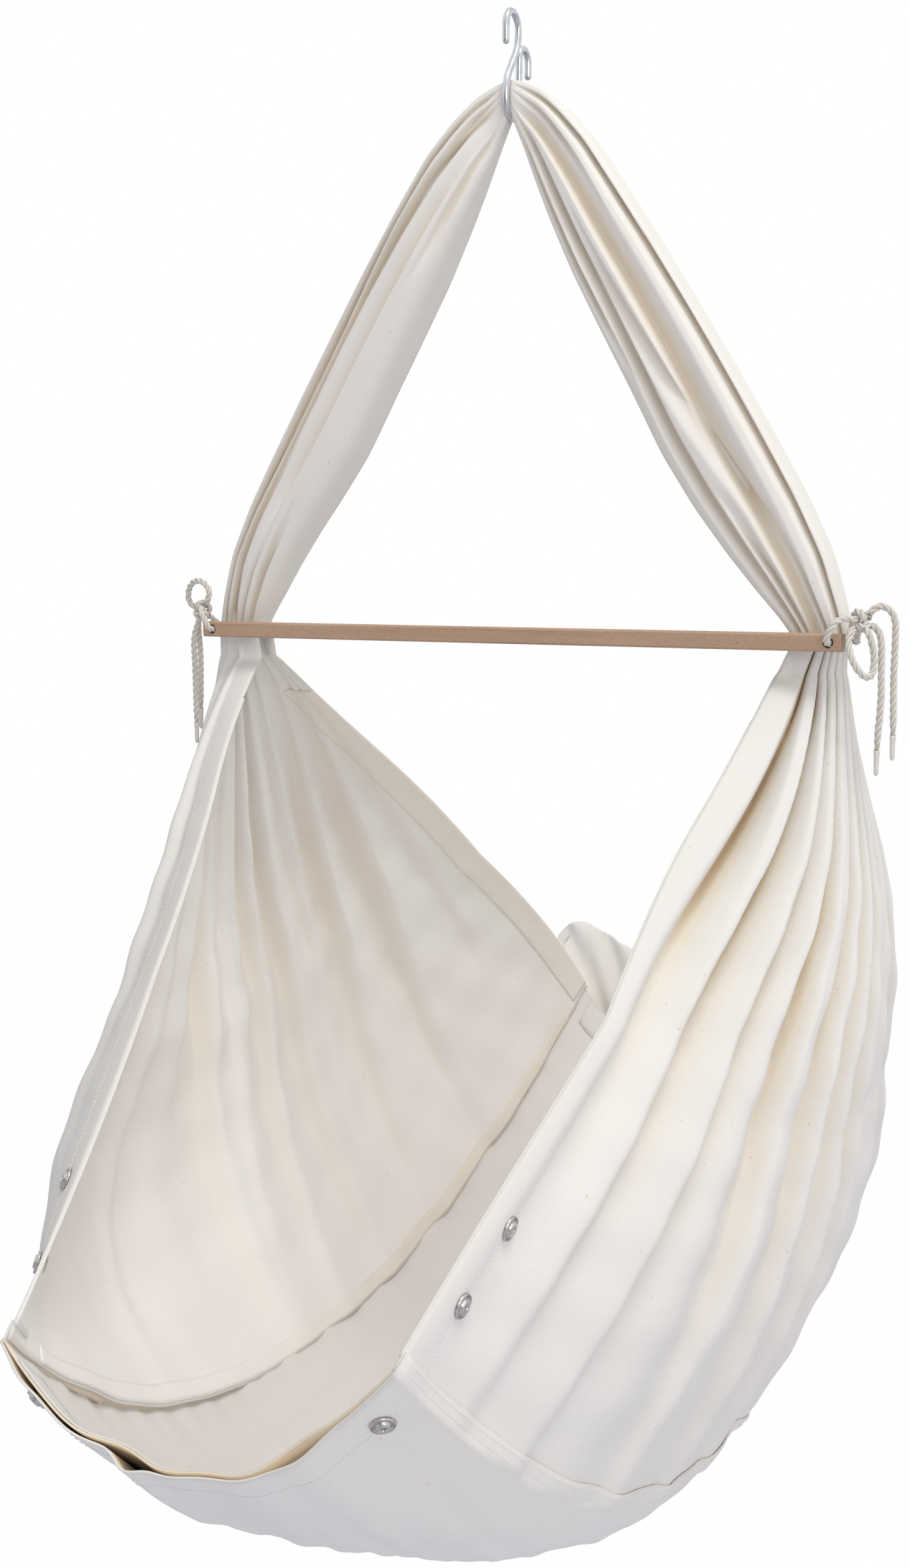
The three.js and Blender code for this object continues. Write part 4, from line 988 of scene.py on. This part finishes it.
# %% Legs
LEG_STATIONS = np.array([0, .03, .07, .12, .19, .28, .37, .47, .57, .66, .75, .83, .90, .96, 1.0])
LEG_OUTER = np.array([
    [0, -.052], [.0142, -.0555], [.032, -.0645], [.050, -.080], [.075, -.107], [.108, -.155], [.138, -.2],
    [.170, -.25], [.201, -.3], [.231, -.35], [.260, -.4], [.282, -.445], [.294, -.485], [.299, -.506],
    [.2995, -.5135]])
LEG_INNER = np.array([
    [0, -.078], [.0142, -.109], [.0195, -.120], [.028, -.137], [.044, -.17], [.067, -.215], [.092, -.26],
    [.120, -.31], [.149, -.365], [.176, -.407], [.204, -.445], [.227, -.474], [.244, -.495], [.2525, -.508],
    [.253, -.5135]])
LEG_DEPTH = np.array([
    .0088, .0100, .0139, .0198, .0264, .032, .033, .033, .033, .0323, .0307, .0271, .0205, .0155, .0145])
LEG_CLOTH, LEG_ROWS, INNER_LAYERS = 0.0005, 136, 6
FRONT_COLUMNS, TURN_COLUMNS, BACK_COLUMNS, LAYER_COLUMNS = 104, 12, 60, 14
FRONT_PLACE = -0.95
SOFTEN = 13
LEG_GROOVES = {
    # share of the width at the top, middle and bottom, half width, depth share, from and to along the leg,
    # steep side
    1: [(0.30, 0.22, 0.18, 0.10, 0.55, -0.2, 1.2, 1), (0.52, 0.64, 0.48, 0.18, 0.60, -0.1, 1.2, -1),
        (0.86, 0.93, 0.86, 0.07, 0.60, -0.2, 1.2, 1), (0.34, 0.42, 0.84, 0.12, 0.26, 0.2, 0.85, 1),
        (0.10, 0.10, 0.08, 0.07, 0.45, -0.1, 0.5, 1), (0.34, 0.36, 0.33, 0.08, 0.50, 0.66, 1.2, -1),
        (0.64, 0.64, 0.66, 0.07, 0.50, 0.70, 1.2, 1), (0.70, 0.74, 0.70, 0.08, 0.45, -0.2, 0.30, 1)],
    -1: [(0.52, 0.79, 0.58, 0.13, 0.62, -0.2, 1.2, 1), (0.84, 0.90, 0.82, 0.07, 0.70, -0.2, 1.2, 1),
         (0.30, 0.50, 0.40, 0.13, 0.30, 0.05, 0.8, -1), (0.70, 0.70, 0.70, 0.07, 0.55, -0.2, 0.26, 1),
         (0.26, 0.24, 0.22, 0.09, 0.50, 0.66, 1.2, 1), (0.42, 0.42, 0.42, 0.07, 0.50, 0.72, 1.2, -1),
         (0.70, 0.66, 0.72, 0.07, 0.55, 0.60, 1.2, 1), (0.16, 0.2, 0.2, 0.10, 0.4, -0.2, 0.34, 1)]}


def along_leg(values, s):
    """Smooth value at share s of the leg: straight steps between stations, softened by averaging neighbours."""
    values = np.asarray(values, float)
    columns = values.reshape(len(values), -1)
    fine = np.linspace(0, 1, 400)
    drawn = np.stack([np.interp(fine, LEG_STATIONS, c) for c in columns.T], axis=-1)
    kernel = np.hanning(2 * SOFTEN + 1) / np.hanning(2 * SOFTEN + 1).sum()
    longer = np.concatenate([2 * drawn[:1] - drawn[SOFTEN:0:-1], drawn, 2 * drawn[-1:] - drawn[-2:-2 - SOFTEN:-1]])
    soft = np.stack([np.convolve(c, kernel, mode="valid") for c in longer.T], axis=-1)
    result = np.stack([np.interp(s, fine, c) for c in soft.T], axis=-1)
    return result.reshape(np.shape(s) + values.shape[1:])


def leg_grooves(x, s, side):
    """How far the front is pushed back at share x of the width, and its painted groove shade: the sum of all grooves,
    each on a parabola through its three places and faded at its two ends."""
    push, tint = np.zeros((2, *np.broadcast(x, s).shape))
    for top, mid, low, width, deep, first, last, steep in LEG_GROOVES[side]:
        middle = top * (1 - s) * (1 - 2 * s) + 4 * mid * s * (1 - s) + low * s * (2 * s - 1)
        fade = smooth(first, first + 0.18, s) * smooth(last, last - 0.18, s)
        across = (x - middle) / width * steep
        shape = groove(across) * fade
        push += deep * shape
        # Painted shade in the grooves: their slow side and the crease line.
        tint = np.maximum(tint, np.maximum(shape**1.3, crease_line(across, 0.22) * fade) * (0.25 + 0.75 * deep))
    return np.minimum(push, 1.15) * smooth(0, 0.08, s), tint * smooth(0, 0.05, s)


def leg_sheet(side):
    """Cross-section of the band: the front across from the open edge, half a turn round the other edge, the
    back, and then six layers folded to and fro inside. The front's grooves press into all layers behind it,
    less and less, and a few grooves press in from the back. The closed edge is the one that the portrait
    sees. Returns the points and the painted shade of each: the grooves' shade on front and back, 0.2 inside."""
    s = np.linspace(0, 1, LEG_ROWS)[:, None]
    turn = np.linspace(0, np.pi, TURN_COLUMNS + 2)[1:-1]
    inside = np.linspace(0, INNER_LAYERS, LAYER_COLUMNS * INNER_LAYERS)
    x = np.concatenate([np.linspace(0, 1, FRONT_COLUMNS), 1 + 0.012 * np.sin(turn), np.linspace(1, 0, BACK_COLUMNS),
                        0.5 - 0.455 * np.cos(np.pi * inside)])[None, :]
    x = x if side > 0 else 1 - x
    place = np.concatenate([np.full(FRONT_COLUMNS, FRONT_PLACE), FRONT_PLACE * np.cos(turn),
                            np.full(BACK_COLUMNS, -FRONT_PLACE), 0.75 - 1.5 * inside / INNER_LAYERS])[None, :]
    nearness = (1 + place / FRONT_PLACE) / 2
    outer, inner, depth = along_leg(LEG_OUTER, s), along_leg(LEG_INNER, s), along_leg(LEG_DEPTH, s)
    edge = 0.50 + 0.50 * np.sqrt(clamp(1 - (2 * x - 1)**2))
    push, tint = leg_grooves(x, s, side)
    back, back_tint = leg_grooves(1 - x, s, -side)
    deep = (place + 0.85 * push * nearness**1.2 - 0.6 * back * (1 - nearness)**1.2) * edge
    belly = np.sin(np.pi * s)
    across = x + belly * (0.03 * x - 0.02) if side > 0 else \
        x + (1 - x) * (0.10 * belly + 0.11 * np.exp(-((s - 0.76) / 0.16)**2))
    p = inner * (1 - across[..., None]) + outer * across[..., None]
    lean = (-0.003 if side > 0 else 0.004) * belly
    points = np.stack([side * p[..., 0] + lean, depth * deep + 0.001 * (1 - smooth(0, 0.2, s)), p[..., 1]], axis=-1)
    column = np.arange(x.shape[1])[None, :]
    half_turned = FRONT_COLUMNS + TURN_COLUMNS // 2
    back_end = FRONT_COLUMNS + TURN_COLUMNS + BACK_COLUMNS
    # The six inner layers get a flat painted shade of 0.2.
    return points, np.where(column < half_turned, tint, np.where(column < back_end, back_tint, 0.2 + 0 * tint))


for name, side in (("left", -1), ("right", 1)):
    points, valley = leg_sheet(side)
    leg = make_piece(name + "_hanging_band", [points], fold=[valley], flip=side < 0)
    thicken(leg, cotton_band, cotton_band, LEG_CLOTH)
    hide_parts(name + "_leg", *(["crown_band"] if side < 0 else []))
    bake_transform(leg)
    print(name, "leg sheet", points.shape)

# %% [markdown]
# ## Stitches
# A lockstitch shows as a row of short raised threads, here 3 mm long and 4.4 mm apart. One row holds each foot
# hem, two rows close each seam through the turned edge of the cover, and one row runs along the
# pocket's mouth. Each stitch is one small capsule, laid along its line by arc length.

# %% Stitches
STITCH_PITCH, STITCH_LENGTH, THREAD_RADIUS = 0.0044, 0.0030, 0.00042
CAPSULE_ENDS = np.array([-0.5, -0.36, 0.36, 0.5])[None, :, None, None] * STITCH_LENGTH
CAPSULE_GIRTHS = np.array([0.35, 1.0, 1.0, 0.35])[None, :, None, None] * THREAD_RADIUS
CAPSULE_SIDES, FLATTENED = 6, 0.7
CAPSULE_POINTS = 4 * CAPSULE_SIDES


def stitch_row(line, outward):
    """Capsules of 4 rings and 6 sides, flattened to 70%, along a line; outward gives the cloth's normal."""
    travel = along(line)
    middle = np.arange(STITCH_PITCH, travel[-1] - STITCH_PITCH, STITCH_PITCH)
    place, onward, up = (np.stack([np.interp(at, travel, rows[:, k]) for k in range(3)], axis=-1)
                         for at, rows in ((middle, line), (middle + 0.001, line), (middle, outward)))
    ahead = unit(onward - place)
    up = unit(up - ahead * np.sum(up * ahead, axis=-1, keepdims=True))
    angle = (np.arange(CAPSULE_SIDES) * 2 * np.pi / CAPSULE_SIDES)[None, None, :, None]
    rings = (place[:, None, None] + CAPSULE_ENDS * ahead[:, None, None]
             + CAPSULE_GIRTHS * np.cos(angle) * np.cross(ahead, up)[:, None, None]
             + FLATTENED * CAPSULE_GIRTHS * np.sin(angle) * up[:, None, None])
    return rings.reshape(-1, 3)


def capsule_faces(count):
    """Faces of a number of capsules: three belts of six quads and a hexagon at each end."""
    k = np.arange(CAPSULE_SIDES)
    belts = grid_faces(4, CAPSULE_SIDES, wrap=True)
    start = CAPSULE_POINTS * np.arange(count)[:, None]
    ends = [(k[::-1] + start).tolist(), (CAPSULE_POINTS - CAPSULE_SIDES + k + start).tolist()]
    return (belts + start[..., None]).reshape(-1, 4).tolist() + ends[0] + ends[1]


thread = new_material("sewing_thread", {"Base Color": (0.84, 0.83, 0.80, 1), "Roughness": 0.75})[0]


def sew(name, lines):
    """One mesh of stitches from a list of (line, outward) pairs; returns how many stitches it has."""
    points = np.concatenate([stitch_row(line, outward) for line, outward in lines])
    count = len(points) // CAPSULE_POINTS
    mesh = bpy.data.meshes.new(name)
    mesh.from_pydata(points, [], capsule_faces(count))
    dress(link_in(bpy.data.objects.new(name, mesh)), thread)
    return count


stitches = 0
for name, side in (("left", -1), ("right", 1)):
    t = np.linspace(0.09, 0.975, 160)[:, None]
    inner_u = inset_u(side, -1, t, HEM_WIDTH - 0.002)
    line, _ = wall_sheet(inner_u, t, side, 0.0009)
    stitches += sew(f"{name}_hem_stitches", [(line[:, 0], wall_outward(inner_u, t, side)[:, 0])])
    rows = []
    for share in (0.3, 0.75):
        u = np.linspace(-0.985, 0.975, 420)[:, None]
        t = 1 - LAP * share + 0 * u
        line, _ = wall_sheet(u, t, side, 0.0031)
        rows.append((line[:, 0], wall_outward(u, t, side)[:, 0]))
    stitches += sew(f"{name}_seam_stitches", rows)
w = np.linspace(-0.94, 0.94, 300)[None, :]
mouth_u = -0.966 + 0 * w
stitches += sew("pocket_mouth_stitches", [(cover_points(mouth_u, w, 0.0011)[0], base_down(mouth_u, w)[0])])
print("stitches:", stitches)

# %% [markdown]
# ## Press studs
# Six nickel press studs close the foot end: two through each foot hem and one through the cover below
# each corner. A stud is a turned disc, so its profile, of radius in millimetres and height in metres,
# is spun round an axis; the outer ring is knurled, which here is a small wave of the height round the
# circle. Its cap shows on the inside.

# %% Studs
STUD_TEETH, KNURL_HEIGHT = 28, 0.00025
STUD_OUT, CAP_IN = 0.0012, {"hem": 0.0034, "cover": 0.0012}
stud_profile = np.array([
    [0, .0012], [1.6, .0013], [1.75, .0018], [1.9, .0033], [2.3, .0036], [3.9, .0036], [4.6, .0033],
    [5.0, .0024], [5.25, .0014], [5.7, .0012], [6.1, .0017], [7.6, .0019], [8.1, .0014], [8.5, .0006],
    [8.4, 0], [4, 0], [0.01, 0]])
cap_profile = np.array([
    [0, .0015], [1.5, .0015], [3.0, .0014], [4.6, .0012], [6.0, .0008], [6.8, .0004], [7.0, .0001],
    [6.9, 0], [3, 0], [0.01, 0]])


def turned(profile, teeth, centre, normal, count=56):
    """Profile spun round the normal; teeth raise a wave of 0.25 mm in the ring between 6 and 8 mm."""
    normal = unit(normal)
    a = unit(np.cross(normal, (0.3, 0.9, 0.1)))
    b = np.cross(normal, a)
    angle = np.linspace(0, 2 * np.pi, count, endpoint=False)[None, :]
    radius, height = profile[:, :1], profile[:, 1:]
    knurled = smooth(5.8, 6.3, radius) * smooth(8.3, 7.9, radius) * (height > 0.001)
    height = height + KNURL_HEIGHT * np.cos(teeth * angle) * knurled
    ring = np.cos(angle)[..., None] * a + np.sin(angle)[..., None] * b
    return centre + (radius / 1000)[..., None] * ring + height[..., None] * normal


nickel, tree, shader = new_material("nickel_plate", {"Metallic": 1.0})
cloud = noise(tree, (add_node(tree, "TexCoord"), "Object"), 420.0, 3.0)
tone = mix_colour(tree, ramp(tree, cloud, 0.35, 0.7), (0.60, 0.59, 0.57, 1), (0.42, 0.41, 0.39, 1))
feed(tree, tone, shader, "Base Color")
feed(tree, ramp(tree, cloud, 0.3, 0.7, 0.2, 0.38), shader, "Roughness")


def seat(point_of, a, b):
    """Point and unit normal of a surface at two parameters, from differences over small steps."""
    h = 0.004
    p = point_of(a, b)
    return p, unit(np.cross(point_of(a + h, b) - p, point_of(a, b + h) - p))


for name, side in (("left", -1), ("right", 1)):
    spots = []
    for t in (0.81, 0.905):
        u = float(inset_u(side, -1, np.array([[t]]), 0.024)[0, 0])
        p, n = seat(lambda a, b: wall_sheet([[a]], [[b]], side)[0][0, 0], u, t)
        spots.append((p, n * np.sign(n[0] * side), "hem"))
    p, n = seat(lambda a, b: cover_points([[a]], [[b]])[0, 0], -0.968, 0.86 * side)
    spots.append((p, n * -np.sign(n[2]), "cover"))
    for k, (p, n, place) in enumerate(spots, start=1):
        stud = make_piece(f"{name}_press_stud_{k}", [turned(stud_profile, STUD_TEETH, p + n * STUD_OUT, n)],
                          wrap=True, caps=True)
        dress(stud, nickel, stands_for=[f"{name}_stud_{k}"])
        cap = make_piece(f"{name}_press_cap_{k}", [turned(cap_profile, 0, p - n * CAP_IN[place], -n, 40)],
                         wrap=True, caps=True)
        dress(cap, nickel, stands_for=[f"{name}_stud_cap_{k}"])
print("press studs and caps: 12")

# %% [markdown]
# ## Floor and light
# The cradle hangs over a plain pale floor. The floor and the world show white to the camera. Shiny
# metal sees a white world too, with a dark patch in front for its dark streaks. The light on the cloth
# stays at a plain level: warm white from above, bluer from below and dimmer from the left, and two
# large soft lamps give the folds their shape.

# %% Stage and light
FLOOR_HALF, FLOOR_Z = 6.0, -1.78
floor_x, floor_y = np.meshgrid([-FLOOR_HALF, FLOOR_HALF], [-FLOOR_HALF, FLOOR_HALF])
floor = make_piece("studio_floor", [np.stack([floor_x, floor_y, 0 * floor_x + FLOOR_Z], axis=-1)])
floor_paint = bpy.data.materials.new("pale_floor")
tree = empty_tree(floor_paint)
matt = add_node(tree, "BsdfDiffuse", {"Color": (0.78, 0.78, 0.88, 1)})
glow = add_node(tree, "Emission", {"Color": (1, 1, 1, 1), "Strength": 1.02})
path = add_node(tree, "LightPath")
share = add_node(tree, "Math", {0: (path, "Is Camera Ray"), 1: 0.95}, operation="MULTIPLY")
both = add_node(tree, "MixShader", {0: (share, 0), 1: (matt, 0), 2: (glow, 0)})
add_node(tree, "OutputMaterial", {"Surface": (both, 0)})
floor.data.materials.append(floor_paint)

world = bpy.data.worlds.new("studio")
bpy.context.scene.world = world
tree = empty_tree(world)
path = add_node(tree, "LightPath")
seen = add_node(tree, "Math", {0: (path, "Is Camera Ray"), 1: (path, "Is Transmission Ray")}, operation="MAXIMUM")
way = add_node(tree, "TexCoord")
split = add_node(tree, "SeparateXYZ", {"Vector": (way, "Generated")})
height = ramp(tree, (split, "Z"), -0.6, 0.7)
sky = mix_colour(tree, height, (0.585, 0.585, 0.655, 1), (0.665, 0.65, 0.615, 1))
sky = mix_colour(tree, ramp(tree, (split, "X"), -0.9, 0.1, 1.0, 0.0), sky, (0.37, 0.37, 0.385, 1))
front = ramp(tree, (split, "Y"), -1.0, -0.80, 1.0, 0.0)
mirror = mix_colour(tree, front, (1.0, 1.0, 1.0, 1), (0.10, 0.10, 0.11, 1))
lit = mix_colour(tree, (path, "Is Glossy Ray"), sky, mirror)
looks = mix_colour(tree, (seen, 0), lit, (1, 1, 1, 1))
background = add_node(tree, "Background", {"Color": looks, "Strength": 1.0})
add_node(tree, "OutputWorld", {"Surface": (background, 0)})

CRADLE_MIDDLE = Vector((0, 0, -0.75))


def soft_lamp(name, place, size, power, colour):
    """Square area lamp that faces the middle of the cradle."""
    data = bpy.data.lights.new(name, "AREA")
    data.size, data.energy, data.color = size, power, colour
    lamp = link_in(bpy.data.objects.new(name, data))
    aim = CRADLE_MIDDLE - Vector(place)
    lamp.matrix_world = Matrix.Translation(place) @ aim.to_track_quat("-Z", "Y").to_matrix().to_4x4()


soft_lamp("key_lamp", (1.6, -0.9, 3.4), 1.5, 70, (1.0, 0.985, 0.96))
soft_lamp("front_lamp", (2.1, -2.5, 0.6), 1.5, 15, (1.0, 0.99, 0.97))
print("floor, world and lamps ready")
